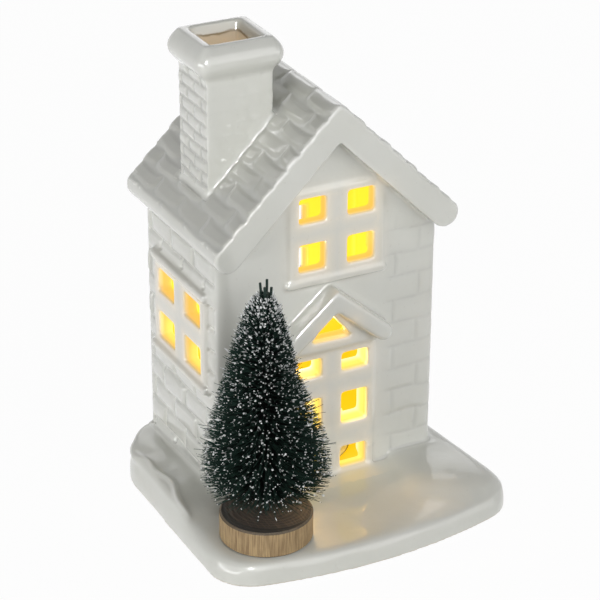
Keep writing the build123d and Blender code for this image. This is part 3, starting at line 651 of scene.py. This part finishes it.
at, facing = points_of(skin.data), points_of(skin.data, normals=True)
deep, from_pane = depth_inside(at), pane_distance(at)
outer = deep < outer_depth
behind = ((from_pane < reveal_edge) | (deep > lit_depth)) & (at[:, 2] > apron_z - 1.0)
in_flue = step(stack_half_x - flue_wall - np.abs(at[:, 0] - stack_x), 0, flue_fade)
in_flue = in_flue * step(stack_half_y - flue_wall - np.abs(at[:, 1] - stack_y), 0, flue_fade)
in_flue = in_flue * step(at[:, 2], *flue_foot)
rounded = soften(at, edges_of(skin.data), np.full(len(at), half_way), bulge_rounds)
bulge = ((at - rounded) * facing).sum(axis=1)
# Upward faces of the mouldings on the left wall, which take painted shade.
ledge_shade = step(facing[:, 2], *ledge_up) * step(left_x - at[:, 0], *ledge_proud)
ledge_shade = ledge_shade * (at[:, 2] > snow_high[2] + ledge_clear) * (at[:, 2] < roof_low[2] - ledge_clear)
marks = {
    "deep": np.where(behind, deep, unlit) - flue_unlit * in_flue,
    "reveal": step(1.0 - from_pane, 0.0, reveal_fade),
    "halo": np.exp(-from_pane / halo_reach) * outer,
    # The joints also take painted shade in the glaze.
    "joints": carve(at, facing)[1] * outer,
    "flue": in_flue,
    "roof": on_slopes(at, slope_margin),
    "roof_edge": step(verge_band - np.abs(roof_depth(at)), 0.0, 1.0),
    # edges get a painted highlight as well as thin glaze
    "edge": step(bulge, *thin_highlight_bulge) * outer,
    # hollows get pooled glaze and painted shade, ledge tops painted shade
    "hollow_shade": np.maximum(step(-bulge, *pooled_shade_bulge), ledge_shade) * outer,
    "snow": (at[:, 2] < snow_high[2] + snow_spare) * step(-deep, 0.6, 2.0),
}
for name, values in marks.items():
    mark(skin, name, values)
print("marks on the skin:", ", ".join(marks), "; lit share", behind.mean().round(3))

# %% [markdown]
# White glaze is a little warm. The roof slopes and the snow, most of all its banks, are painted
# greyer as painted shade. Joints and hollows are greyer still, partly glaze that pools there and
# partly painted shade, and the tops of the mouldings on the left wall take the same painted shade.
# Edges are whiter, partly glaze that runs thin and partly a painted highlight. The flue is stained
# tan by the clay that shows through. The foot ring stays bare clay, because glaze there would
# stick to the kiln shelf. Lit clay is painted dark, so that the glow alone sets its colour.

# %% Colour of the glaze
pale, paler = (0.70, 0.705, 0.65), (0.735, 0.74, 0.69)
# The roof and snow greys are painted shade.
roof_shade_grey, snow_shade_grey = (0.455, 0.455, 0.41), (0.52, 0.52, 0.47)
# The joint and hollow greys are pooled glaze and painted shade; the thin white is thin glaze and a painted
# highlight.
joint_pool_shade_grey, hollow_pool_shade_grey, thin_glaze_highlight_white = (0.52, 0.525, 0.49), (0.46, 0.46, 0.43), (0.92, 0.92, 0.89)
flue_tan, flue_brown, flue_rim = (0.66, 0.57, 0.45), (0.38, 0.29, 0.17), (0.74, 0.73, 0.65)
speck_brown, bare_clay, lit_clay = (0.45, 0.42, 0.36), (0.66, 0.60, 0.50), (0.10, 0.06, 0.01)

glaze = Finish("white_glaze", Coat_Roughness=0.03, Emission_Strength=1.0)
up = glaze.height(glaze.place()) * (1 / MM)
deep_in, on_snow, hollow_shade = glaze.layer("deep"), glaze.layer("snow"), glaze.layer("hollow_shade")
cloud = glaze.noise(22)
speck = glaze.noise(1.4, detail=1.0).over(0.7, 0.78)
bare = 1 - up.over(0.2, 0.9)
lit = deep_in.over(-0.7, 1.2)
# Banks of snow above the path, where painted shade darkens the snow most.
bank_shade = on_snow * up.over(apron_z + 0.8, apron_z + 3.0)
flue_line = up + (glaze.noise(6) - 0.5) * 2.4
flue_tone = glaze.blend(flue_line.over(flue_top - 4.1, flue_top - 3.6), flue_tan, flue_brown)
flue_tone = glaze.blend(flue_line.over(flue_top - 3.5, flue_top - 2.9), flue_tone, flue_rim)
tone = glaze.blend(cloud.over(0.3, 0.7), pale, paler)
coats = (
    # how much of it, and the colour
    # painted shade on the roof slopes
    (glaze.layer("roof") * 0.8, roof_shade_grey),
    # painted shade on the snow, strongest on its banks
    (on_snow * 0.08 + bank_shade * 0.5, snow_shade_grey),
    # pooled glaze and painted shade in joints and seams
    (glaze.layer("joints") * 0.7, joint_pool_shade_grey),
    # pooled glaze and painted shade in hollows, painted shade on ledge tops
    (hollow_shade * 0.5, hollow_pool_shade_grey),
    # thin glaze and a painted highlight along edges
    (glaze.layer("edge") * cloud.over(0.42, 0.58) * 0.4, thin_glaze_highlight_white),
    (glaze.layer("flue") * 0.9, flue_tone),
    (speck * 0.12, speck_brown),
    (bare, bare_clay),
    (lit, lit_clay),
)
for share, colour in coats:
    tone = glaze.blend(share, tone, colour)
print("the glaze is painted in", len(coats), "steps over its white")

# %% [markdown]
# The glow is painted too, because a real lamp that small would leave the render grainy. The room
# behind the panes is deep amber below and yellow above. The cut edges of the panes are lit from
# behind: the ones by the door are palest far in, where the lamp is near. Round each pane a faint
# warmth comes through the clay, and a little light stands in the flue.

# %% Glow in the clay
room_low, room_high, room_heights = (0.92, 0.52, 0.003), (0.96, 0.78, 0.030), (18.0, 62.0)
window_outer, window_inner = (1.0, 0.52, 0.10), (1.0, 0.66, 0.06)
door_outer, door_middle, door_inner = (1.0, 0.58, 0.12), (1.0, 0.80, 0.14), (1.0, 0.92, 0.46)
over_door = (door_rows[-1][1] + 0.8, fan_row[0] + 1.4)
flue_light, halo_light, dark = (0.12, 0.105, 0.080), (1.0, 0.60, 0.16), (0, 0, 0)

room_glow = glaze.blend(up.over(*room_heights), room_low, room_high)
window_edge = glaze.blend(deep_in.over(1.5, 4.6), window_outer, window_inner)
door_edge = glaze.blend(deep_in.over(0.0, 2.5), door_outer, door_middle)
door_edge = glaze.blend(deep_in.over(3.0, 6.5), door_edge, door_inner)
pane_edge = glaze.blend(up.over(*over_door), door_edge, window_edge)
glow = glaze.blend(glaze.layer("reveal"), room_glow, pane_edge)
flue_share = glaze.layer("flue") * (1 - flue_line.over(flue_top - 4.6, flue_top - 3.4))
shine = glaze.blend(flue_share, dark, flue_light)
shine = glaze.blend(glaze.layer("halo") * 0.18, shine, halo_light)
glow = glaze.blend(lit, shine, glow)
print("edges of the panes change from door to window at", [round(v, 1) for v in over_door], "mm")

# %% [markdown]
# A clear coat over the pale body gives two reflections, as the real layer of glass does, and a
# faint waviness breaks up the highlights. The snow is less shiny, and so are hollows. Along the
# edges of the roof the coat comes and goes, so that a glint there is broken into dashes.

# %% White glaze
verge = glaze.layer("edge") * glaze.layer("roof_edge")
broken = glaze.noise(2.6, detail=1.0).over(0.46, 0.54)
coat = (0.8 - on_snow * 0.2 - hollow_shade * 0.5) * (1 - lit) * (1 - bare)
ripple = glaze.noise(7, detail=1.5) + glaze.noise(2.2, detail=1.0) * 0.15
ripple = ripple + verge * glaze.noise(1.8, detail=1.0) * 0.2
glaze.feed(
    Base_Color=tone,
    Roughness=0.18 + cloud * 0.1 + on_snow * 0.12 + bare * 0.5 + lit * 0.4 + verge * 0.15,
    Coat_Weight=coat * (1 - verge * (1 - broken)),
    Emission_Color=glow,
)
glaze.bump(ripple, 0.22)
glaze.put_on(skin)
skin.data.polygons.foreach_set("use_smooth", np.ones(len(skin.data.polygons), dtype=bool))
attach(skin, "house")
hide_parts(*ceramic_nodes)
print("glaze is on", skin.name)

# %% [markdown]
# A bottle-brush tree is made by catching fibres between two wires and twisting the wires. The
# fibres fan out all round, are trimmed to a cone and dyed, and their tips are dipped in glue and
# white flock. This tree is trimmed a little flatter on its right. A fibre is first a line with a
# slight bend: a root on the wire, a middle and a tip on the trimmed outline. A leaning fibre rises
# as it reaches out, so the place where it meets the outline is found in a few rounds.

# %% Lines of the fibres
tree_x, tree_y, _ = box_of("tree_stem").mean(axis=0)
slice_top = box_of("tree_disc")[1, 2]
prong_length, bare_top = 3.4, 4.5
tree_foot, prong_top = box_of("bristles_lower")[0, 2], box_of("tree_stem")[1, 2]
tree_top = prong_top - prong_length
outline_rise = (4.0, 8.0, 11.0, 14.0, 21.0, 28.0, 46.0, 58.0, 69.0, 74.0, 76.0)
outline_reach = (16.0, 18.2, 19.6, 20.2, 19.7, 18.4, 13.5, 10.5, 6.8, 4.0, 1.5)
strand_count, golden_turn, turn_spread, core_radius = 9600, 2.39996, 0.2, 0.5
lean_low, lean_more, lean_power, lean_spread, bend = 6, 49, 1.7, 6.0, 0.035
first_reach, trim_rounds, shortest = 8.0, 12, 0.9
stray_share, stray_more, longest_share, uneven = 0.03, 0.12, 1.03, 0.26
flat_side, flat_share, flat_fade = -0.48, 0.20, (tree_foot + 12, tree_foot + 40)
rng = np.random.default_rng(12)


def fibre_lines(count):
    """Root, middle and tip of each fibre, in millimetres."""
    share = (np.arange(count) + 0.5) / count
    root_z = tree_foot + (tree_top - bare_top - tree_foot) * share
    turn = np.arange(count) * golden_turn + rng.normal(0, turn_spread, count)
    lean = np.radians(lean_low + lean_more * share**lean_power + rng.normal(0, lean_spread, count))
    reach = np.full(count, first_reach)
    for _ in range(trim_rounds):
        rise = root_z + reach * np.tan(lean) - slice_top
        reach = 0.5 * reach + 0.5 * np.interp(rise, outline_rise, outline_reach)
    stray = 1 + stray_more * (rng.random(count) < stray_share)
    trimmed = 1 - flat_share * step(root_z, *flat_fade) * np.maximum(np.cos(turn - flat_side), 0)
    reach = reach * stray * trimmed * (longest_share - uneven * rng.random(count) ** 2)
    reach = np.maximum(reach, shortest)
    out = np.stack([np.cos(turn), np.sin(turn), np.zeros(count)], axis=1)
    root = np.array([tree_x, tree_y, 0]) + out * core_radius + np.outer(root_z, [0, 0, 1])
    tip = root + out * (reach - core_radius)[:, None] + np.outer(reach * np.tan(lean), [0, 0, 1])
    middle = (root + tip) / 2 + rng.normal(0, bend, (count, 3)) * reach[:, None]
    return root, middle, tip


root, middle, tip = fibre_lines(strand_count)
print("fibres reach from", tip[:, 2].min().round(1), "to", tip[:, 2].max().round(1), "mm high")

# %% [markdown]
# Each line becomes a thin three-sided strand. Writing all of them into one mesh with arrays is
# far quicker than making thousands of objects.

# %% Bristles of the tree
strand_radii = (0.15, 0.13, 0.09)


def many_faces(name, points, faces):
    """A mesh of many alike bits: their points in millimetres, and the faces of one bit."""
    count, each, _ = points.shape
    all_faces = np.arange(count)[:, None, None] * each + np.array(faces)
    mesh = bpy.data.meshes.new(name)
    mesh.from_pydata((points.reshape(-1, 3) * MM).tolist(), [], all_faces.reshape(-1, 3).tolist())
    return mesh


def strand_mesh(name, rings, radii):
    """Three-sided strands through rows of points, each row with its own radius."""
    count = len(rings[0])
    line = rings[-1] - rings[0]
    line /= np.linalg.norm(line, axis=1, keepdims=True)
    side = np.cross(line, [0, 0, 1.0])
    side /= np.linalg.norm(side, axis=1, keepdims=True) + 1e-9
    top = np.cross(line, side)
    turns = [2 * math.pi * k / 3 for k in range(3)]
    points = np.stack(
        [ring + r * (math.cos(t) * side + math.sin(t) * top) for ring, r in zip(rings, radii) for t in turns],
        axis=1,
    )
    faces, last = [], 3 * (len(rings) - 1)
    for row in range(len(rings) - 1):
        for k in range(3):
            a, b = 3 * row + k, 3 * row + (k + 1) % 3
            faces += [(a, b, b + 3), (a, b + 3, a + 3)]
    faces += [(0, 2, 1), (last, last + 1, last + 2)]
    return many_faces(name, points, faces)


bristles = new_piece("tree_bristles", strand_mesh("tree_bristles", (root, middle, tip), strand_radii))
mark(bristles, "out", np.tile(np.repeat([0.0, 0.5, 1.0], 3), strand_count))
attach(bristles, "house")
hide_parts("bristles_lower", "bristles_middle", "bristles_upper")
print("bristles:", strand_count, "fibres,", len(bristles.data.polygons), "faces")

# %% [markdown]
# Dyed fibre is dark green. Where it is packed round the wire it is painted nearly black, as painted
# shade, and it is greener at the ends, where light gets in. A colour that follows the length of
# the fibre does that, and a little noise keeps neighbours from matching.

# %% Dyed fibre with painted shade
fibre = Finish("green_fibre", Specular_IOR_Level=0.15)
along = fibre.layer("out")
# Painted shade: nearly black at the root, green towards the tip.
shaded_green = fibre.blend(along.over(0.5, 1.0), (0.0008, 0.0012, 0.0010), (0.018, 0.046, 0.034))
shaded_green = fibre.blend(fibre.noise(1.2).over(0.5, 0.75) * along * along * 0.5, shaded_green, (0.026, 0.072, 0.050))
fibre.feed(Base_Color=shaded_green, Roughness=0.45 + fibre.noise(2) * 0.3)
fibre.put_on(bristles)
print("fibre is dyed")

# %% [markdown]
# Flock clings in specks to the tips and in crusts along the outer fibres, thickest towards the
# top. Each speck is a small eight-sided grain, stretched along its fibre and turned at random,
# so that it catches light like a crumb of snow.

# %% White flock on the tips
grain_count, crust_share, crust_low, crust_high = 3600, 0.14, 0.5, 4
even_chance, top_more, top_fade = 0.8, 0.1, (0.3, 0.9)
dip_share, dip_power, big_share, big_more = 0.4, 2.2, 0.18, 0.6
grain_long, grain_wide, crust_long, grain_flat = (0.20, 0.42), (0.16, 0.32), (0.3, 1.1), 0.9


def unit_lines(lines):
    """The same directions, all of length 1."""
    return lines / np.linalg.norm(lines, axis=1, keepdims=True)


high_share = (tip[:, 2] - tree_foot) / (tree_top - tree_foot)
chance = even_chance + top_more * step(high_share, *top_fade)
picked = rng.choice(strand_count, grain_count, replace=False, p=chance / chance.sum())
where = 1 - dip_share * rng.random(grain_count) ** dip_power
grain_at = middle[picked] + (tip[picked] - middle[picked]) * (2 * where - 1)[:, None]
grain_line = unit_lines(tip[picked] - middle[picked])
grain_side = unit_lines(np.cross(grain_line, rng.normal(0, 1, (grain_count, 3))))
grain_top = np.cross(grain_line, grain_side)
crust = rng.random(grain_count) < crust_share * (crust_low + crust_high * high_share[picked] ** 2)
big = 1 + big_more * (rng.random(grain_count) < big_share)
long_half = rng.uniform(*grain_long, grain_count) * big + crust * rng.uniform(*crust_long, grain_count)
wide_half = rng.uniform(*grain_wide, grain_count) * big
corners = [
    grain_at + sign * half[:, None] * way
    for way, half in ((grain_line, long_half), (grain_side, wide_half), (grain_top, wide_half * grain_flat))
    for sign in (1, -1)
]
grain_faces = [(0, 2, 4), (2, 1, 4), (1, 3, 4), (3, 0, 4), (2, 0, 5), (1, 2, 5), (3, 1, 5), (0, 3, 5)]
flock = new_piece("tree_flock", many_faces("tree_flock", np.stack(corners, axis=1), grain_faces))
snow_crumb = Finish("white_flock")
crumb = snow_crumb.noise(0.8)
crumb_tone = snow_crumb.blend(crumb, (0.88, 0.90, 0.90), (0.97, 0.97, 0.97))
snow_crumb.feed(Base_Color=crumb_tone, Roughness=0.75 + crumb * 0.2)
snow_crumb.put_on(flock)
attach(flock, "house")
print("flock:", grain_count, "grains,", crust.sum(), "of them crusts")

# %% [markdown]
# The trunk is the pair of twisted wires that holds the fibres. Two helices make it, and four
# short prongs stand at the top, where the doubled wire was cut. A curve with a round bevel is the
# shortest way to draw a wire, and it is turned into mesh at the end.

# %% Twisted wire
wire_half, twist_radius, twist_pitch, wire_step = 0.55, 0.5, 3.6, 0.25
prong_half, prong_run, prong_count, prong_points = 0.42, 9.0, 4, 7
prong_turn, prong_start, prong_drop = 1.57, 0.9, 0.55
prong_root, prong_spread, prong_curl = 0.3, 2.6, 0.45
wire_foot = box_of("tree_stem")[0, 2] + wire_half


def wire_curve(name, lines, half):
    """Round wires along lines of points in millimetres."""
    made = bpy.data.curves.new(name, "CURVE")
    made.dimensions, made.use_fill_caps = "3D", True
    made.bevel_depth, made.bevel_resolution = half * MM, 2
    for line in lines:
        spline = made.splines.new("POLY")
        spline.points.add(len(line) - 1)
        spline.points.foreach_set("co", np.c_[np.array(line) * MM, np.ones(len(line))].ravel())
    return made


def round_trunk(turn, spread, height):
    """Points at an angle and a distance from the trunk's axis."""
    return np.stack([tree_x + spread * np.cos(turn), tree_y + spread * np.sin(turn), height], axis=1)


heights = np.arange(wire_foot, tree_top, wire_step)
twist = heights / twist_pitch * 2 * math.pi
wires = [round_trunk(twist + start, twist_radius, heights) for start in (0, math.pi)]
rise = np.linspace(0, 1, prong_points)
spread = prong_root + prong_spread * rise * (1 - prong_curl * rise)
prongs = [
    round_trunk(prong_turn * k + prong_start, spread, prong_top - prong_drop * k - prong_run * (1 - rise))
    for k in range(prong_count)
]
joined = bmesh.new()
for lines, half in ((wires, wire_half), (prongs, prong_half)):
    drawn = new_piece("drawn_wire", wire_curve("drawn_wire", lines, half))
    joined.from_mesh(drawn.evaluated_get(bpy.context.evaluated_depsgraph_get()).to_mesh())
    bpy.data.objects.remove(drawn)
wire_mesh = bpy.data.meshes.new("tree_wire")
joined.to_mesh(wire_mesh)
joined.free()
trunk = new_piece("tree_wire", wire_mesh)
print("wire:", len(trunk.data.polygons), "faces")

# %% [markdown]
# The wire is painted dark green before it is twisted, and the pliers chip the paint.

# %% Paint on the wire
paint = Finish("green_wire", Specular_IOR_Level=0.2)
chip = paint.noise(1.1).over(0.62, 0.7)
paint.feed(
    Base_Color=paint.blend(chip, (0.010, 0.026, 0.020), (0.05, 0.05, 0.045)),
    Roughness=0.35 + paint.noise(0.7) * 0.3,
    Metallic=chip * 0.6,
)
paint.put_on(trunk)
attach(trunk, "house")
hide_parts("tree_stem")
print("paint is on", trunk.name)

# %% [markdown]
# The foot of the tree is a slice sawn from a branch. The solid already has its shape, so it only
# needs wood: growth rings and fine saw lines on the stained top, a dark rim, and long straight
# fibres on the pale side. Which one shows is decided by the way the face looks.

# %% Slice of wood
pith = ((tree_x + 2.0) * MM, (tree_y + 1.5) * MM, 0)
slice_radius = np.ptp(box_of("tree_disc")[:, 0]) / 2 * MM
wood = Finish("wood_slice")
level = wood.height(wood.node("ShaderNodeTexCoord", output="Normal")).math("ABSOLUTE").over(0.5, 0.8)
spread = wood.vector("MULTIPLY", wood.vector("SUBTRACT", wood.place(), pith), (1, 1, 0))
radius = wood.vector("LENGTH", spread, (0, 0, 0), output="Value")
rings = ((radius * (1 / MM) + wood.noise(9) * 2.5) * 4.2).math("SINE")
saw = wood.noise(0.55, wood.vector("MULTIPLY", wood.place(), (1.0, 0.07, 1.0)), detail=2.0)
fibres = wood.noise(0.36, wood.vector("MULTIPLY", wood.place(), (1.0, 1.0, 0.05)), detail=4.0)
stain = wood.blend(rings.over(-0.6, 0.9) * 0.6, (0.040, 0.027, 0.018), (0.080, 0.056, 0.037))
stain = wood.blend(saw.over(0.46, 0.70) * 0.55, stain, (0.150, 0.100, 0.062))
stain = wood.blend(radius.over(slice_radius * 0.90, slice_radius * 0.97) * 0.8, stain, (0.012, 0.010, 0.007))
side_tone = wood.blend(fibres.over(0.30, 0.70), (0.22, 0.140, 0.062), (0.45, 0.315, 0.155))
side_tone = wood.blend(wood.noise(5).over(0.5, 0.8) * 0.5, side_tone, (0.52, 0.37, 0.19))
wood.feed(Base_Color=wood.blend(level, side_tone, stain), Roughness=0.5 + saw * 0.3)
wood.bump(fibres * (1 - level) + (saw * 0.7 + rings * 0.2) * level, 0.25)
wood.put_on(nodes["tree_disc"])
print("wood is on the slice")

# %% [markdown]
# The light unit is seen from below and when it is pulled out: pale moulded shells, a rubber plug,
# a frosted dome and a few plain electric pieces. Their solids have the right shape, so each gets
# a moulded, stamped or coated finish. One recipe with a few settings covers them all, and the
# lamp and its dome glow as well.

# %% Finishes of the light unit
unit_finishes = (
    # finish, two close tones, roughness, grain and relief in mm, metal, pieces
    ("housing_plastic", (0.74, 0.74, 0.71), (0.79, 0.79, 0.77), 0.42, 0.5, 0.02, 0.0,
     ("unit_base", "unit_cap", "battery_cover")),
    ("plug_rubber", (0.60, 0.60, 0.57), (0.66, 0.66, 0.64), 0.75, 0.8, 0.04, 0.0, ("plug_ring",)),
    ("board_laminate", (0.02, 0.16, 0.06), (0.035, 0.21, 0.09), 0.35, 1.5, 0.02, 0.0, ("circuit_board",)),
    ("lamp_resin", (0.95, 0.80, 0.35), (0.98, 0.86, 0.45), 0.1, 1.0, 0.01, 0.0, ("led",)),
    ("frosted_dome", (0.86, 0.80, 0.62), (0.92, 0.88, 0.72), 0.6, 0.4, 0.02, 0.0, ("light_diffuser",)),
    ("tinned_steel", (0.55, 0.55, 0.56), (0.66, 0.66, 0.67), 0.3, 0.6, 0.01, 1.0,
     ("led_leads", "negative_contact", "positive_contact", "switch_body")),
    ("cell_steel", (0.58, 0.58, 0.59), (0.68, 0.68, 0.69), 0.28, 0.3, 0.01, 1.0, ("coin_cell",)),
    ("screw_steel", (0.42, 0.42, 0.43), (0.54, 0.54, 0.55), 0.32, 0.4, 0.01, 1.0, ("cover_screw",)),
    ("resistor_lacquer", (0.55, 0.42, 0.26), (0.64, 0.50, 0.33), 0.3, 0.5, 0.02, 0.0, ("resistor",)),
    ("slider_plastic", (0.015, 0.015, 0.015), (0.03, 0.03, 0.03), 0.5, 0.4, 0.03, 0.0, ("switch_slider",)),
)
unit_glow = {"lamp_resin": ((1.0, 0.75, 0.2, 1), 1.5), "frosted_dome": ((1.0, 0.72, 0.2, 1), 0.8)}
no_glow = ((1, 1, 1, 1), 0.0)


def moulded(name, tone, shade, rough, grain, depth, metal):
    """A plain finish with a fine surface: two close tones and a small relief."""
    colour, strength = unit_glow.get(name, no_glow)
    made = Finish(name, Metallic=metal, Emission_Color=colour, Emission_Strength=strength)
    fine = made.noise(grain)
    fine_tone = made.blend(fine.over(0.35, 0.7), tone, shade)
    made.feed(Base_Color=fine_tone, Roughness=rough + (fine - 0.5) * 0.2)
    made.bump(fine, depth)
    return made


for *recipe, pieces in unit_finishes:
    moulded(*recipe).put_on(*(nodes[name] for name in pieces))
print("finished", sum(len(row[-1]) for row in unit_finishes), "nodes of the light unit")

# %% [markdown]
# The lamp inside is small and warm. Most of the glow is already in the skin, so this light only
# has to spill a little colour through the panes and onto the path. It rides on the light unit,
# and so leaves the house with it.

# %% Warm light inside
inner_rise, inner_watts, inner_colour, inner_size = 18, 0.19, (1.0, 0.62, 0.24), 0.01


def add_lamp(name, kind, place, energy, colour=(1, 1, 1), aim=None, **settings):
    """A lamp at a place in metres, turned towards its aim."""
    lamp = bpy.data.lights.new(name, kind)
    lamp.energy, lamp.color = energy, colour
    for key, value in settings.items():
        setattr(lamp, key, value)
    made = bpy.data.objects.new(name, lamp)
    made.location = place
    if aim is not None:
        made.rotation_mode = "QUATERNION"
        made.rotation_quaternion = (Vector(aim) - Vector(place)).to_track_quat("-Z", "Y")
    scene.collection.objects.link(made)
    return made


dome_top = box_of("light_diffuser")[1, 2]
inner_place = (house_x * MM, house_y * MM, (dome_top + inner_rise) * MM)
inner_lamp = add_lamp(
    "inner_lamp", "POINT", inner_place, inner_watts, inner_colour, shadow_soft_size=inner_size,
)
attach(inner_lamp, "light_unit")
print("inner lamp at", [round(v / MM, 1) for v in inner_lamp.location])

# %% [markdown]
# The studio is a pale floor. For the camera and for reflections it is nearly all white paper, with
# just enough of the real floor left to keep the shadow under the base. Light that bounces meets
# the real floor alone, and the room adds only a little light of its own.

# %% Floor and background
floor_half, floor_drop, paper_share, ambient = 4.0, 0.0001, 0.97, 0.06
floor_tone = (0.86, 0.86, 0.86, 1)

floor_mesh = bpy.data.meshes.new("floor")
corner_signs = ((-1, -1), (1, -1), (1, 1), (-1, 1))
floor_corners = [(x * floor_half, y * floor_half, -floor_drop) for x, y in corner_signs]
floor_mesh.from_pydata(floor_corners, [], [(0, 1, 2, 3)])
floor = new_piece("floor", floor_mesh)


def seen_directly(tree):
    """1 where the camera, a reflection or clear glass looks, 0 for light that bounces."""
    rays = tree.nodes.new("ShaderNodeLightPath")
    camera_ray, glossy_ray, clear_ray = (
        Shade(tree, rays.outputs[f"Is {kind} Ray"]) for kind in ("Camera", "Glossy", "Transmission")
    )
    return camera_ray.math("MAXIMUM", camera_ray.math("MAXIMUM", camera_ray, glossy_ray), clear_ray)


paper = Finish("pale_floor", Roughness=0.9, Base_Color=floor_tone)
white = paper.node("ShaderNodeEmission", {}, {"Color": (1, 1, 1, 1), "Strength": 1.0})
mix = paper.tree.nodes.new("ShaderNodeMixShader")
plug(paper.tree, seen_directly(paper.tree) * paper_share, mix.inputs[0])
paper.tree.links.new(paper.surface.outputs[0], mix.inputs[1])
plug(paper.tree, white, mix.inputs[2])
paper.tree.links.new(mix.outputs[0], paper.tree.nodes["Material Output"].inputs["Surface"])
paper.put_on(floor)

room = scene.world or bpy.data.worlds.new("room")
scene.world = room
room.use_nodes = True
room_light = room.node_tree.nodes["Background"]
room_light.inputs["Color"].default_value = (1, 1, 1, 1)
plug(room.node_tree, ambient + seen_directly(room.node_tree) * (1 - ambient), room_light.inputs["Strength"])
print("floor", 2 * floor_half, "m across")

# %% [markdown]
# Large soft lamps stand round the house: the main two low at the left and higher in front, and two
# weak ones that fill the right and the back. The floor bounces light up the walls, so the roof,
# which sees less of it, comes out darker. A small narrow lamp shows only in reflections: it makes
# crisp glints on the glaze and adds no light to the clay.

# %% Studio lamps
aim = (0, 0, 0.07)
studio_lamps = (
    # name, place, watts, width, height, whether it lights the clay
    ("left_softbox", (-1.0, -0.18, 0.07), 8.2, 0.9, 0.5, True),
    ("front_softbox", (0.1, -1.05, 0.62), 7.2, 1.3, 1.0, True),
    ("right_softbox", (0.9, -0.75, 0.35), 1.4, 0.7, 0.5, True),
    ("back_softbox", (0.5, 1.1, 0.6), 1.6, 0.8, 0.6, True),
    ("glint", (-0.49, -0.75, 0.57), 11.0, 0.05, 0.22, False),
)
for name, place, watts, wide, high, lights_clay in studio_lamps:
    lamp = add_lamp(name, "AREA", place, watts, aim=aim, shape="RECTANGLE", size=wide, size_y=high)
    lamp.visible_diffuse = lights_clay
scene.view_settings.view_transform = "Standard"
print("studio lamps:", len(studio_lamps))
